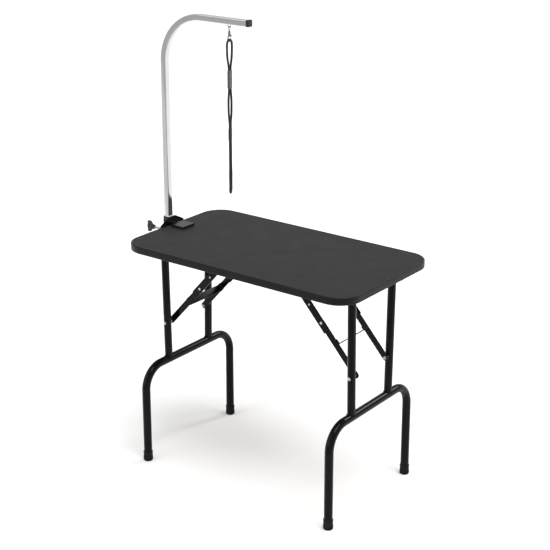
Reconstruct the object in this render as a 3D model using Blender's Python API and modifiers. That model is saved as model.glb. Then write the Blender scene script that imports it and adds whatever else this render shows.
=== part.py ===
"""Folding grooming table: matted top, two folding leg frames, clamped arm and noose.

Metres, +Z up.  The long side of the top runs along X, the arm stands at the -X end.
The origin is on the floor, under the middle of the whole object's box.
"""
import math

import bmesh
import bpy
from mathutils import Matrix, Vector

# Driving dimensions -------------------------------------------------------------------
GAP = 0.0003                  # air between pieces that touch on the real table

TABLE_HEIGHT = 0.800
TOP_LENGTH = 0.914
TOP_WIDTH = 0.508
TOP_THICKNESS = 0.025
CORNER_RADIUS = 0.078
LIP_WIDTH = 0.006             # how far the trim laps over the board
LIP_THICKNESS = 0.0016
TRIM_WALL = 0.0022

TUBE_RADIUS = 0.0143          # pivot tubes and U tubes
POST_RADIUS = 0.0135
TUBE_WALL = 0.0014
LEG_X = 0.386                 # leg planes, either side of the top's middle
LEG_SPREAD = 0.230            # U tube's legs, either side of the middle line
BEND_RADIUS = 0.078
CROSSBAR_Z = 0.345
PIVOT_DROP = 0.018            # pivot tube's centre below the board
PIVOT_TUBE_LENGTH = 0.300
PIVOT_BRACKET_INSET = 0.009   # from the pivot tube's end
PIVOT_BRACKET_DROP = 0.019
PIVOT_BRACKET_THICKNESS = 0.0025
PIVOT_BRACKET_HALF = 0.022
PIVOT_FLANGE = 0.030
POST_TOP_Y = 0.116
POST_FOOT_Y = 0.108
FOOT_RADIUS = 0.0165
FOOT_HEIGHT = 0.034
FOOT_FLOOR = 0.006

BRACE_PIVOT_Z = 0.4834        # bolt through the post
BRACE_ANCHOR_RUN = 0.245      # from the leg plane to the table bracket's pin
BRACE_ANCHOR_DROP = 0.004     # bracket's pin below the leg pivot
BRACE_SPLIT = 0.0307          # how much longer the lower link is than the upper one
LOWER_LINK_Y = 0.0870         # middle of the lower link's thickness
UPPER_LINK_Y = 0.0903
ANCHOR_PLATE_Y = 0.0936
BRACE_BRACKET_HALF = 0.018
BRACE_BRACKET_DROP = 0.012
BRACE_FLANGE = 0.028
LINK_THICKNESS = 0.0030
LOWER_LINK_WIDTH = 0.022
UPPER_LINK_WIDTH = 0.026
UPPER_LINK_OVERRUN = 0.034    # upper link goes on past the middle rivet
PIN_RADIUS = 0.0030
BOLT_HEAD_RADIUS = 0.0065
BOLT_HEAD_HEIGHT = 0.0040
BOLT_SLEEVE_RADIUS = 0.0060   # spacer and nut
BOLT_NUT_THICKNESS = 0.0050
BOLT_TIP = 0.0020
RIVET_HEAD_RADIUS = 0.0058
RIVET_HEAD_HEIGHT = 0.0022
TIE_FROM_BOLT = 0.112
TIE_WIDTH = 0.026
TIE_THICKNESS = 0.0020
TIE_TAB = 0.016

CLAMP_Y = 0.008
ARM_X = -0.4745               # arm's centre, from the top's middle
ARM_SIDE = 0.022
ARM_WALL = 0.0015
ARM_RISE = 0.740              # level run's centre line above the top
ARM_BEND_RADIUS = 0.165
ARM_END_X = -0.1155
ARM_DEPTH = 0.140             # arm's lower end below the top
SOCKET_SIDE = 0.0276
SOCKET_BORE = 0.0228
SOCKET_RISE = 0.026
SOCKET_DEPTH = 0.075
PLATE_THICKNESS = 0.0028
BACK_LOW = -0.080             # back plate's outline, heights from the top's surface
BACK_HALF = 0.024
WING_LOW = -0.022
WING_HIGH = 0.004
WING_REACH = 0.060
NECK_HALF = 0.018
JAW_START = 0.023             # top jaw's square plate, from the back plate's inner face
JAW_REACH = 0.076
JAW_HALF = 0.030
JAW_NECK_HALF = 0.015
JAW_THICKNESS = 0.004
JAW_PAD_THICKNESS = 0.004
FOOT_JAW_DROP = 0.076
FOOT_JAW_HALF = 0.020
FOOT_JAW_OVERRUN = 0.016      # bottom jaw goes on past the clamp screw
BOSS_RADIUS = 0.0090
BOSS_HEIGHT = 0.010
LOCK_DROP = 0.030
LOCK_SCREW_RADIUS = 0.0040
LOCK_NUT_RADIUS = 0.0080
LOCK_NUT_THICKNESS = 0.0060
KNOB_THICKNESS = 0.015
KNOB_HUB_HALF = 0.0075
KNOB_NECK_HALF = 0.0115
KNOB_WING_HALF = 0.0200
KNOB_START_X = -0.540
KNOB_END_X = -0.572
CLAMP_SCREW_X = -0.430
CLAMP_SCREW_RADIUS = 0.0050
SCREW_PAD_RADIUS = 0.0120
SCREW_PAD_THICKNESS = 0.0050
SCREW_EYE_DROP = 0.124        # top of the screw's thick end, below the top's surface
SCREW_EYE_HEIGHT = 0.018
SCREW_EYE_RADIUS = 0.0080
HANDLE_HALF = 0.0290
HANDLE_END_RADIUS = 0.0048
HANDLE_END_LENGTH = 0.0050

HOOK_X = -0.192
EYE_RADIUS = 0.0055
EYE_LEG = 0.0040              # eye's straight legs under the arm
EYE_WIRE = 0.0014
RING_RADIUS = 0.0055
RING_WIRE = 0.0013
NECK_HEIGHT = 0.0050
BARREL_HEIGHT = 0.0170
HOOK_DROP = 0.0165            # hook's lowest centre line below the barrel
HOOK_RADIUS = 0.0065
HOOK_WIRE = 0.0018
BARREL_RADIUS = 0.0042
SNAP_NECK_RADIUS = 0.0022
SNAP_BOLT_RADIUS = 0.0014
SNAP_THUMB_RADIUS = 0.0018
SNAP_THUMB_REACH = 0.0045

CORD_RADIUS = 0.0038
STRAND_Y = 0.0041             # strands side by side, either side of the noose's middle
SLEEVE_WALL_Y = 0.0016        # past the strands
SLEEVE_WALL_X = 0.0013
SLIDER_WALL_Y = 0.0013
SLIDER_WALL_X = 0.0011
SLEEVE_TOP = -0.1000          # heights on the noose, from the top of its bight
SLEEVE_LOW = -0.1610
SLEEVE_JOINT = -0.1300        # cord's two ends meet inside the sleeve
JOINT_GAP = 0.0006
SLIDER_TOP = -0.2980
SLIDER_LOW = -0.3360
# One side of the noose, from its top bight to its bottom one: distance from the middle,
# height from the top bight, and how far the loop's plane has turned, in degrees
STRAND = [(0.0000, 0.0000, 8), (0.0076, -0.0020, 8), (0.0132, -0.0076, 8), (0.0152, -0.0152, 8),
          (0.0156, -0.0250, 8), (0.0154, -0.0360, 8), (0.0146, -0.0480, 8), (0.0130, -0.0590, 7),
          (0.0107, -0.0680, 6), (0.0082, -0.0760, 4), (0.0061, -0.0840, 2), (0.0047, -0.0910, 0),
          (0.0041, -0.0980, 0), (0.0041, -0.1150, 0), (0.0041, -0.1300, 0), (0.0041, -0.1450, 0),
          (0.0041, -0.1640, 0), (0.0049, -0.1740, 0), (0.0066, -0.1880, 0), (0.0078, -0.2060, 0),
          (0.0080, -0.2220, 1), (0.0079, -0.2400, 3), (0.0071, -0.2550, 7), (0.0054, -0.2680, 11),
          (0.0041, -0.2800, 14), (0.0041, -0.2960, 14), (0.0041, -0.3200, 14), (0.0041, -0.3440, 14),
          (0.0041, -0.3700, 14), (0.0041, -0.3960, 14), (0.0041, -0.4200, 14), (0.0046, -0.4320, 16),
          (0.0066, -0.4450, 20), (0.0096, -0.4590, 25), (0.0126, -0.4720, 29),
          (0.0145, -0.4850, 31), (0.0152, -0.5022, 31), (0.0132, -0.5098, 31),
          (0.0076, -0.5154, 31), (0.0000, -0.5174, 31)]
TAIL_TURN = 14                # degrees, where the slider slides

# Derived places -----------------------------------------------------------------------
TABLE_X = -(KNOB_END_X + TOP_LENGTH / 2) / 2
BOARD_TOP_Z = TABLE_HEIGHT - LIP_THICKNESS - GAP
BOARD_BOTTOM_Z = TABLE_HEIGHT - TOP_THICKNESS + LIP_THICKNESS + GAP
PIVOT_Z = BOARD_BOTTOM_Z - PIVOT_DROP
ANCHOR_Z = PIVOT_Z - BRACE_ANCHOR_DROP
BRACE_LENGTH = math.hypot(BRACE_ANCHOR_RUN, ANCHOR_Z - BRACE_PIVOT_Z)
UPPER_LINK_LENGTH = (BRACE_LENGTH - BRACE_SPLIT) / 2
LOWER_LINK_LENGTH = (BRACE_LENGTH + BRACE_SPLIT) / 2
BRACE_ANGLE = math.atan2(ANCHOR_Z - BRACE_PIVOT_Z, BRACE_ANCHOR_RUN)
ARM_TOP_Z = TABLE_HEIGHT + ARM_RISE
ARM_AXIS_X = TABLE_X + ARM_X
HOOK_AXIS_X = TABLE_X + HOOK_X
LOCK_Z = TABLE_HEIGHT - LOCK_DROP
EYE_TOP_Z = ARM_TOP_Z - ARM_SIDE / 2 - GAP
EYE_LOW_Z = EYE_TOP_Z - EYE_LEG - EYE_RADIUS
RING_Z = EYE_LOW_Z + EYE_WIRE + RING_WIRE + GAP - RING_RADIUS
BARREL_TOP_Z = RING_Z - RING_RADIUS - NECK_HEIGHT
HOOK_LOW_Z = BARREL_TOP_Z - BARREL_HEIGHT - HOOK_DROP
BIGHT_Z = HOOK_LOW_Z + HOOK_WIRE + CORD_RADIUS + GAP

SIDES = {"left": -1, "right": 1}
ENDS = {"front": -1, "rear": 1}


def clear_scene():
    for thing in list(bpy.data.objects):
        bpy.data.objects.remove(thing, do_unlink=True)


def new_collection(name):
    made = bpy.data.collections.new(name)
    bpy.context.scene.collection.children.link(made)
    return made


clear_scene()
PARTS = new_collection("grooming_table")
CUTTERS = new_collection("cutters")


def material(name, colour, roughness, metallic=0.0):
    made = bpy.data.materials.new(name)
    made.use_nodes = True
    shader = made.node_tree.nodes["Principled BSDF"]
    shader.inputs["Base Color"].default_value = (*colour, 1.0)
    shader.inputs["Roughness"].default_value = roughness
    shader.inputs["Metallic"].default_value = metallic
    return made


BOARD = material("board", (0.30, 0.22, 0.15), 0.80)
MAT = material("mat", (0.050, 0.050, 0.050), 0.75)
TRIM = material("trim", (0.020, 0.020, 0.020), 0.50)
BLACK_STEEL = material("black_steel", (0.012, 0.012, 0.012), 0.35)
RUBBER = material("rubber", (0.015, 0.015, 0.015), 0.85)
ZINC = material("zinc", (0.62, 0.62, 0.62), 0.30, 1.0)
CHROME = material("chrome", (0.80, 0.80, 0.80), 0.08, 1.0)
PLASTIC = material("plastic", (0.010, 0.010, 0.010), 0.45)
NYLON = material("nylon", (0.010, 0.010, 0.010), 0.80)
SLEEVE = material("sleeve", (0.120, 0.120, 0.120), 0.50)


# Modelling helpers --------------------------------------------------------------------
def move_to(thing, collection):
    for owner in list(thing.users_collection):
        owner.objects.unlink(thing)
    collection.objects.link(thing)


def finish(thing, name, paint, parent=None):
    """Name a piece, paint it, shade it and hang it on its joint's empty."""
    thing.name = name
    thing.data.name = name
    thing.data.materials.clear()
    thing.data.materials.append(paint)
    thing.data.shade_smooth()
    thing.data.set_sharp_from_angle(angle=math.radians(35))
    move_to(thing, PARTS)
    if parent:
        thing.parent = parent
        thing.matrix_parent_inverse = parent.matrix_world.inverted()
    return thing


def axis_empty(name, place, parent=None):
    made = bpy.data.objects.new(name, None)
    made.empty_display_size = 0.03
    made.location = place
    PARTS.objects.link(made)
    bpy.context.view_layer.update()
    if parent:
        made.parent = parent
        made.matrix_parent_inverse = parent.matrix_world.inverted()
        bpy.context.view_layer.update()
    return made


def facing(place, direction, up=(0, 0, 1)):
    """Matrix whose +Z runs along direction and whose +Y is as near to up as it can be."""
    z_axis = Vector(direction).normalized()
    x_axis = Vector(up).cross(z_axis).normalized()
    y_axis = z_axis.cross(x_axis)
    turned = Matrix((x_axis, y_axis, z_axis)).transposed().to_4x4()
    return Matrix.Translation(Vector(place)) @ turned


ALONG_X = {"direction": (1, 0, 0), "up": (0, 0, 1)}
ALONG_Y = {"direction": (0, 1, 0), "up": (0, 0, 1)}
ALONG_Z = {"direction": (0, 0, 1), "up": (0, 1, 0)}


def apply_scale(thing):
    thing.data.transform(Matrix.Diagonal((*thing.scale, 1.0)))
    thing.scale = (1, 1, 1)


def box(low, high):
    middle = [(a + b) / 2 for a, b in zip(low, high)]
    bpy.ops.mesh.primitive_cube_add(size=1, location=middle)
    made = bpy.context.object
    made.scale = [b - a for a, b in zip(low, high)]
    apply_scale(made)
    return made


def rod(start, end, radius, sides=24):
    """Cylinder from start to end."""
    start = Vector(start)
    run = Vector(end) - start
    up = (0, 1, 0) if abs(run.normalized().z) > 0.9 else (0, 0, 1)
    bpy.ops.mesh.primitive_cylinder_add(vertices=sides, radius=radius, depth=run.length)
    made = bpy.context.object
    made.matrix_world = facing(start + run / 2, run, up)
    return made


def to_mesh(source):
    """Turn a curve object into a closed mesh object in the same place."""
    bpy.context.view_layer.update()
    seen = source.evaluated_get(bpy.context.evaluated_depsgraph_get())
    data = bpy.data.meshes.new_from_object(seen)
    shape = bmesh.new()
    shape.from_mesh(data)
    bmesh.ops.remove_doubles(shape, verts=shape.verts, dist=0.00001)
    shape.to_mesh(data)
    shape.free()
    made = bpy.data.objects.new(source.name, data)
    bpy.context.scene.collection.objects.link(made)
    made.matrix_world = source.matrix_world
    bpy.data.objects.remove(source, do_unlink=True)
    return made


def outline_curve(outlines):
    """Flat curve: the first outline is the edge, the others are holes."""
    data = bpy.data.curves.new("outline", "CURVE")
    data.dimensions = "2D"
    data.fill_mode = "BOTH"
    for points in outlines:
        spline = data.splines.new("POLY")
        spline.points.add(len(points) - 1)
        spline.use_cyclic_u = True
        for vertex, (x, y) in zip(spline.points, points):
            vertex.co = (x, y, 0, 1)
    return data


def plate(outlines, thickness, place, direction=(0, 0, 1), up=(0, 1, 0)):
    """Flat plate of the given outlines, its thickness centred on place."""
    data = outline_curve(outlines)
    data.extrude = thickness / 2
    made = bpy.data.objects.new("plate", data)
    bpy.context.scene.collection.objects.link(made)
    made.matrix_world = facing(place, direction, up)
    return to_mesh(made)


def turned(profile, place, direction, up, sides=24):
    """Solid of revolution; profile is (radius, height) down its outer side."""
    data = bpy.data.meshes.new("turned")
    vertices = [(radius, 0, height) for radius, height in profile]
    edges = [(i, i + 1) for i in range(len(vertices) - 1)]
    data.from_pydata(vertices, edges, [])
    made = bpy.data.objects.new("turned", data)
    bpy.context.scene.collection.objects.link(made)
    made.matrix_world = facing(place, direction, up)
    screw = made.modifiers.new("turn", "SCREW")
    screw.axis = "Z"
    screw.steps = sides
    screw.render_steps = sides
    screw.use_merge_vertices = True
    screw.merge_threshold = 0.00001
    return to_mesh(made)


def wire(points, radius, resolution, caps=True, cyclic=False):
    """Round wire or tube skin through points."""
    data = bpy.data.curves.new("wire", "CURVE")
    data.dimensions = "3D"
    data.bevel_depth = radius
    data.bevel_resolution = resolution
    data.use_fill_caps = caps
    data.render_resolution_u = 0
    spline = data.splines.new("POLY")
    spline.points.add(len(points) - 1)
    spline.use_cyclic_u = cyclic
    for vertex, point in zip(spline.points, points):
        vertex.co = (*point, 1)
    made = bpy.data.objects.new("wire", data)
    bpy.context.scene.collection.objects.link(made)
    return made


def hollow(skin, wall):
    """Give an open tube skin its wall, inwards."""
    made = to_mesh(skin)
    solid = made.modifiers.new("wall", "SOLIDIFY")
    solid.thickness = wall
    solid.offset = -1
    solid.use_even_offset = True
    return made


def bevel(thing, width, segments=2, angle=40):
    rounding = thing.modifiers.new("edges", "BEVEL")
    rounding.width = width
    rounding.segments = segments
    rounding.limit_method = "ANGLE"
    rounding.angle_limit = math.radians(angle)
    return thing


def combine(thing, other, operation):
    """Boolean with a helper object that the build leaves out."""
    other.hide_render = True
    other.display_type = "WIRE"
    move_to(other, CUTTERS)
    step = thing.modifiers.new(operation.lower(), "BOOLEAN")
    step.operation = operation
    step.solver = "EXACT"
    step.object = other
    return thing


def cut(thing, *cutters):
    for cutter in cutters:
        combine(thing, cutter, "DIFFERENCE")
    return thing


def join(thing, *others):
    for other in others:
        combine(thing, other, "UNION")
    return thing


def arc(centre, radius, start, end, steps):
    """Points on an arc, angles in degrees, both ends included."""
    angles = [math.radians(start + (end - start) * i / steps) for i in range(steps + 1)]
    return [(centre[0] + radius * math.cos(a), centre[1] + radius * math.sin(a)) for a in angles]


def rounded_rectangle(width, height, radius, steps):
    x = width / 2 - radius
    y = height / 2 - radius
    corners = [(x, y, 0), (-x, y, 90), (-x, -y, 180), (x, -y, 270)]
    return [point for cx, cy, start in corners
            for point in arc((cx, cy), radius, start, start + 90, steps)]


def reversed_outline(points):
    return points[::-1]


def circle(radius, sides=16, centre=(0, 0)):
    return arc(centre, radius, 0, 360 - 360 / sides, sides - 1)


# Top ----------------------------------------------------------------------------------
def top_outline(inset):
    return rounded_rectangle(TOP_LENGTH - 2 * inset, TOP_WIDTH - 2 * inset,
                             CORNER_RADIUS - inset, 9)


def slab(inset, low, high):
    return plate([top_outline(inset)], high - low, (TABLE_X, 0, (low + high) / 2))


def build_top():
    board = slab(TRIM_WALL + GAP, BOARD_BOTTOM_Z, BOARD_TOP_Z)
    finish(board, "tabletop_board", BOARD)
    mat = slab(TRIM_WALL + LIP_WIDTH + GAP, BOARD_TOP_Z + GAP, TABLE_HEIGHT - GAP)
    finish(mat, "top_mat", MAT)
    trim = slab(0, TABLE_HEIGHT - TOP_THICKNESS, TABLE_HEIGHT)
    bevel(trim, 0.0030, 3)
    pocket = slab(TRIM_WALL, BOARD_BOTTOM_Z - GAP, BOARD_TOP_Z + GAP)
    window = slab(TRIM_WALL + LIP_WIDTH, TABLE_HEIGHT - 2 * TOP_THICKNESS,
                  TABLE_HEIGHT + TOP_THICKNESS)
    cut(trim, pocket, window)
    finish(trim, "edge_trim", TRIM)


# Leg frames ---------------------------------------------------------------------------
def leg_plane_x(side):
    return TABLE_X + side * LEG_X


def build_pivot_bracket(name, side, end):
    """Angle bracket on the board, with the hole that the pivot tube turns in."""
    x = leg_plane_x(side)
    wall_y = PIVOT_TUBE_LENGTH / 2 - PIVOT_BRACKET_INSET
    top = BOARD_BOTTOM_Z - GAP
    low = PIVOT_Z - PIVOT_BRACKET_DROP
    thick = PIVOT_BRACKET_THICKNESS
    half = PIVOT_BRACKET_HALF
    wall = box((x - half, end * wall_y - thick / 2, low), (x + half, end * wall_y + thick / 2, top))
    inner = end * (wall_y - thick / 2)
    outer = end * (wall_y + PIVOT_FLANGE)
    flange = box((x - half, min(inner, outer), top - thick), (x + half, max(inner, outer), top))
    bore = rod((x, -TOP_WIDTH / 2, PIVOT_Z), (x, TOP_WIDTH / 2, PIVOT_Z), TUBE_RADIUS + GAP, 28)
    join(wall, flange)
    cut(wall, bore)
    return finish(wall, name, BLACK_STEEL)


def build_pivot_tube(name, side, hinge):
    x = leg_plane_x(side)
    half = PIVOT_TUBE_LENGTH / 2
    skin = wire([(x, -half, PIVOT_Z), (x, half, PIVOT_Z)], TUBE_RADIUS, 8, caps=False)
    return finish(hollow(skin, TUBE_WALL), name, BLACK_STEEL, hinge)


def post_y(z):
    """How far the post's centre line is from the middle at height z."""
    share = (z - CROSSBAR_Z) / (PIVOT_Z - CROSSBAR_Z)
    return POST_FOOT_Y + share * (POST_TOP_Y - POST_FOOT_Y)


def cross_rod(side, z, radius):
    x = leg_plane_x(side)
    return rod((x, -TOP_WIDTH / 2, z), (x, TOP_WIDTH / 2, z), radius, 28)


def build_post(name, side, end, hinge):
    """Post welded between the crossbar and the pivot tube, cut to fit round both."""
    x = leg_plane_x(side)
    foot = (x, end * POST_FOOT_Y, CROSSBAR_Z)
    head = (x, end * POST_TOP_Y, PIVOT_Z)
    post = hollow(wire([foot, head], POST_RADIUS, 8, caps=False), TUBE_WALL)
    cut(post,
        cross_rod(side, CROSSBAR_Z, TUBE_RADIUS + GAP),
        cross_rod(side, PIVOT_Z, TUBE_RADIUS + GAP),
        rod((x, 0, BRACE_PIVOT_Z), (x, end * TOP_WIDTH / 2, BRACE_PIVOT_Z), PIN_RADIUS + GAP, 16))
    return finish(post, name, BLACK_STEEL, hinge)


def u_tube_path(x):
    low = FOOT_FLOOR + GAP
    bend_y = LEG_SPREAD - BEND_RADIUS
    bend_z = CROSSBAR_Z - BEND_RADIUS
    path = [(-LEG_SPREAD, low)]
    path += arc((-bend_y, bend_z), BEND_RADIUS, 180, 90, 9)
    path += arc((bend_y, bend_z), BEND_RADIUS, 90, 0, 9)
    path += [(LEG_SPREAD, low)]
    return [(x, y, z) for y, z in path]


def build_u_tube(name, side, hinge):
    skin = wire(u_tube_path(leg_plane_x(side)), TUBE_RADIUS, 8, caps=False)
    return finish(hollow(skin, TUBE_WALL), name, BLACK_STEEL, hinge)


def build_foot(name, side, end, hinge):
    """Rubber cup that the tube stands in, a little wider at the rim and rounded below."""
    profile = [(0, FOOT_FLOOR),
               (TUBE_RADIUS + GAP, FOOT_FLOOR),
               (TUBE_RADIUS + GAP, FOOT_HEIGHT),
               (FOOT_RADIUS - 0.0008, FOOT_HEIGHT),
               (FOOT_RADIUS, FOOT_HEIGHT - 0.0012),
               (FOOT_RADIUS, 0.0025),
               (FOOT_RADIUS - 0.0025, 0),
               (0, 0)]
    foot = turned(profile, (leg_plane_x(side), end * LEG_SPREAD, 0), **ALONG_Z)
    return finish(foot, name, RUBBER, hinge)


# Braces -------------------------------------------------------------------------------
def brace_direction(side):
    """Unit vector up the straight brace, from the post's bolt to the table bracket."""
    return Vector((-side * math.cos(BRACE_ANGLE), 0, math.sin(BRACE_ANGLE)))


def brace_bolt_place(side):
    return Vector((leg_plane_x(side), 0, BRACE_PIVOT_Z))


def anchor_place(side):
    return Vector((leg_plane_x(side) - side * BRACE_ANCHOR_RUN, 0, ANCHOR_Z))


def middle_place(side):
    return brace_bolt_place(side) + brace_direction(side) * LOWER_LINK_LENGTH


def link_matrix_up(side, end):
    """Plate axes: +Z across the brace (out of it at this end), +Y up along the brace."""
    return {"direction": (0, end, 0), "up": brace_direction(side)}


def bar_outline(low, high, half, low_round=True):
    """Flat bar along +Y from low to high, its far end round and its near end round or square."""
    outline = arc((0, high - half), half, 0, 180, 8)
    if low_round:
        outline += arc((0, low + half), half, 180, 360, 8)
    else:
        outline += [(-half, low), (half, low)]
    return outline


def build_lower_link(name, side, end, hinge):
    half = LOWER_LINK_WIDTH / 2
    outline = bar_outline(-half, LOWER_LINK_LENGTH + half, half)
    place = brace_bolt_place(side) + Vector((0, end * LOWER_LINK_Y, 0))
    link = plate([outline, circle(PIN_RADIUS + GAP)], LINK_THICKNESS, place,
                 **link_matrix_up(side, end))
    return finish(link, name, BLACK_STEEL, hinge)


def build_upper_link(name, side, end, hinge):
    """Wider link, square where it laps past the middle rivet."""
    half = UPPER_LINK_WIDTH / 2
    outline = bar_outline(-UPPER_LINK_OVERRUN, UPPER_LINK_LENGTH + half, half, low_round=False)
    holes = [circle(PIN_RADIUS + GAP), circle(PIN_RADIUS + GAP, centre=(0, UPPER_LINK_LENGTH))]
    place = middle_place(side) + Vector((0, end * UPPER_LINK_Y, 0))
    link = plate([outline, *holes], LINK_THICKNESS, place, **link_matrix_up(side, end))
    return finish(link, name, BLACK_STEEL, hinge)


def build_brace_bracket(name, side, end):
    """Angle bracket on the board, with its riveted pin through the upper link."""
    anchor = anchor_place(side)
    thick = LINK_THICKNESS
    half = BRACE_BRACKET_HALF
    top = BOARD_BOTTOM_Z - GAP
    near = ANCHOR_PLATE_Y - thick / 2
    far = ANCHOR_PLATE_Y + thick / 2
    wall = box((anchor.x - half, min(end * near, end * far), anchor.z - BRACE_BRACKET_DROP),
               (anchor.x + half, max(end * near, end * far), top))
    inner = near - BRACE_FLANGE
    flange = box((anchor.x - half, min(end * inner, end * far), top - thick),
                 (anchor.x + half, max(end * inner, end * far), top))
    pin = rod((anchor.x, end * (UPPER_LINK_Y - LINK_THICKNESS / 2), anchor.z),
              (anchor.x, end * (far - 0.001), anchor.z), PIN_RADIUS, 16)
    join(wall, flange, pin)
    return finish(wall, name, BLACK_STEEL)


def build_middle_rivet(name, side, end, hinge):
    """Dome head outside the upper link, with its shank in the link's hole."""
    inner = UPPER_LINK_Y - LINK_THICKNESS / 2
    seat = UPPER_LINK_Y + LINK_THICKNESS / 2 + GAP - inner
    profile = [(0, seat + RIVET_HEAD_HEIGHT),
               (RIVET_HEAD_RADIUS * 0.52, seat + RIVET_HEAD_HEIGHT * 0.90),
               (RIVET_HEAD_RADIUS * 0.86, seat + RIVET_HEAD_HEIGHT * 0.55),
               (RIVET_HEAD_RADIUS, seat),
               (PIN_RADIUS, seat),
               (PIN_RADIUS, 0),
               (0, 0)]
    place = middle_place(side) + Vector((0, end * inner, 0))
    rivet = turned(profile, place, (0, end, 0), (0, 0, 1), 16)
    return finish(rivet, name, ZINC, hinge)


def build_brace_bolt(name, side, end, hinge):
    """Bolt through the post and the lower link, with its spacer and its nut."""
    post = post_y(BRACE_PIVOT_Z)
    head_seat = post + POST_RADIUS + 2 * GAP
    spacer_outer = post - POST_RADIUS - 3 * GAP
    spacer_inner = LOWER_LINK_Y + LINK_THICKNESS / 2 + GAP
    nut_seat = LOWER_LINK_Y - LINK_THICKNESS / 2 - GAP
    nut_end = nut_seat - BOLT_NUT_THICKNESS
    profile = [(0, head_seat + BOLT_HEAD_HEIGHT),
               (BOLT_HEAD_RADIUS * 0.62, head_seat + BOLT_HEAD_HEIGHT * 0.90),
               (BOLT_HEAD_RADIUS, head_seat + BOLT_HEAD_HEIGHT * 0.40),
               (BOLT_HEAD_RADIUS, head_seat),
               (PIN_RADIUS, head_seat),
               (PIN_RADIUS, spacer_outer),
               (BOLT_SLEEVE_RADIUS, spacer_outer),
               (BOLT_SLEEVE_RADIUS, spacer_inner),
               (PIN_RADIUS, spacer_inner),
               (PIN_RADIUS, nut_seat),
               (BOLT_SLEEVE_RADIUS, nut_seat),
               (BOLT_SLEEVE_RADIUS, nut_end),
               (PIN_RADIUS, nut_end),
               (PIN_RADIUS, nut_end - BOLT_TIP),
               (0, nut_end - BOLT_TIP)]
    place = brace_bolt_place(side)
    bolt = turned(profile, place, (0, end, 0), (0, 0, 1), 12)
    return finish(bolt, name, ZINC, hinge)


def build_tie_strip(name, side, hinge):
    """Flat strip between the two lower links, its ends bent to lie on them."""
    half = LOWER_LINK_Y - LINK_THICKNESS / 2 - GAP
    thick = TIE_THICKNESS
    tab = TIE_TAB
    outline = [(-half, 0), (half, 0), (half, tab), (half - thick, tab), (half - thick, thick),
               (thick - half, thick), (thick - half, tab), (-half, tab)]
    along = brace_direction(side)
    across = along.cross(Vector((0, 1, 0)))
    place = brace_bolt_place(side) + along * TIE_FROM_BOLT
    strip = plate([outline], TIE_WIDTH, place, direction=across, up=along)
    return finish(strip, name, BLACK_STEEL, hinge)


def build_leg_frame(label, side):
    hinge = axis_empty(label + "_leg_axis", (leg_plane_x(side), 0, PIVOT_Z))
    lower = axis_empty(label + "_lower_brace_axis", brace_bolt_place(side), hinge)
    upper = axis_empty(label + "_upper_brace_axis", anchor_place(side))
    build_pivot_tube(label + "_pivot_tube", side, hinge)
    build_u_tube(label + "_u_tube", side, hinge)
    build_tie_strip(label + "_tie_strip", side, lower)
    for corner, end in ENDS.items():
        which = label + "_" + corner
        build_pivot_bracket(which + "_pivot_bracket", side, end)
        build_post(which + "_post", side, end, hinge)
        build_foot(which + "_foot", side, end, hinge)
        build_brace_bolt(which + "_brace_bolt", side, end, hinge)
        build_lower_link(which + "_lower_link", side, end, lower)
        build_upper_link(which + "_upper_link", side, end, upper)
        build_middle_rivet(which + "_middle_rivet", side, end, upper)
        build_brace_bracket(which + "_brace_bracket", side, end)


# Clamp --------------------------------------------------------------------------------
def build_clamp_frame():
    """Back plate outside the top's edge, with one jaw above the top and one below."""
    outer = ARM_AXIS_X + SOCKET_SIDE / 2 + GAP
    inner = outer + PLATE_THICKNESS
    right = [(BACK_HALF, BACK_LOW), (JAW_HALF, 1.36 * WING_LOW), (WING_REACH, WING_LOW),
             (WING_REACH, WING_HIGH), (NECK_HALF, SOCKET_RISE)]
    left = [(-y, z) for y, z in reversed(right)]
    back = plate([right + left], PLATE_THICKNESS, ((outer + inner) / 2, CLAMP_Y, TABLE_HEIGHT),
                 **ALONG_X)
    start = inner + JAW_START
    end = inner + JAW_REACH
    overlap = outer + PLATE_THICKNESS / 3
    near_side = [(overlap, -JAW_NECK_HALF), (start, -JAW_NECK_HALF), (start, -JAW_HALF),
                 (end, -JAW_HALF)]
    far_side = [(x, -y) for x, y in reversed(near_side)]
    jaw_low = TABLE_HEIGHT + GAP + JAW_PAD_THICKNESS
    top_jaw = plate([near_side + far_side], JAW_THICKNESS, (0, CLAMP_Y, jaw_low + JAW_THICKNESS / 2))
    screw_x = TABLE_X + CLAMP_SCREW_X
    foot_top = TABLE_HEIGHT - FOOT_JAW_DROP
    bottom_jaw = box((overlap, CLAMP_Y - FOOT_JAW_HALF, foot_top - JAW_THICKNESS),
                     (screw_x + FOOT_JAW_OVERRUN, CLAMP_Y + FOOT_JAW_HALF, foot_top))
    boss_low = foot_top - JAW_THICKNESS - BOSS_HEIGHT
    boss = rod((screw_x, CLAMP_Y, boss_low), (screw_x, CLAMP_Y, foot_top - JAW_THICKNESS / 4),
               BOSS_RADIUS)
    bore = rod((screw_x, CLAMP_Y, boss_low - JAW_THICKNESS),
               (screw_x, CLAMP_Y, foot_top + JAW_THICKNESS), CLAMP_SCREW_RADIUS + GAP)
    join(back, top_jaw, bottom_jaw, boss)
    cut(back, bore)
    finish(back, "clamp_frame", BLACK_STEEL)
    pad = box((start, CLAMP_Y - JAW_HALF, TABLE_HEIGHT + GAP),
              (end, CLAMP_Y + JAW_HALF, jaw_low - GAP))
    finish(pad, "jaw_pad", RUBBER)


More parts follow.
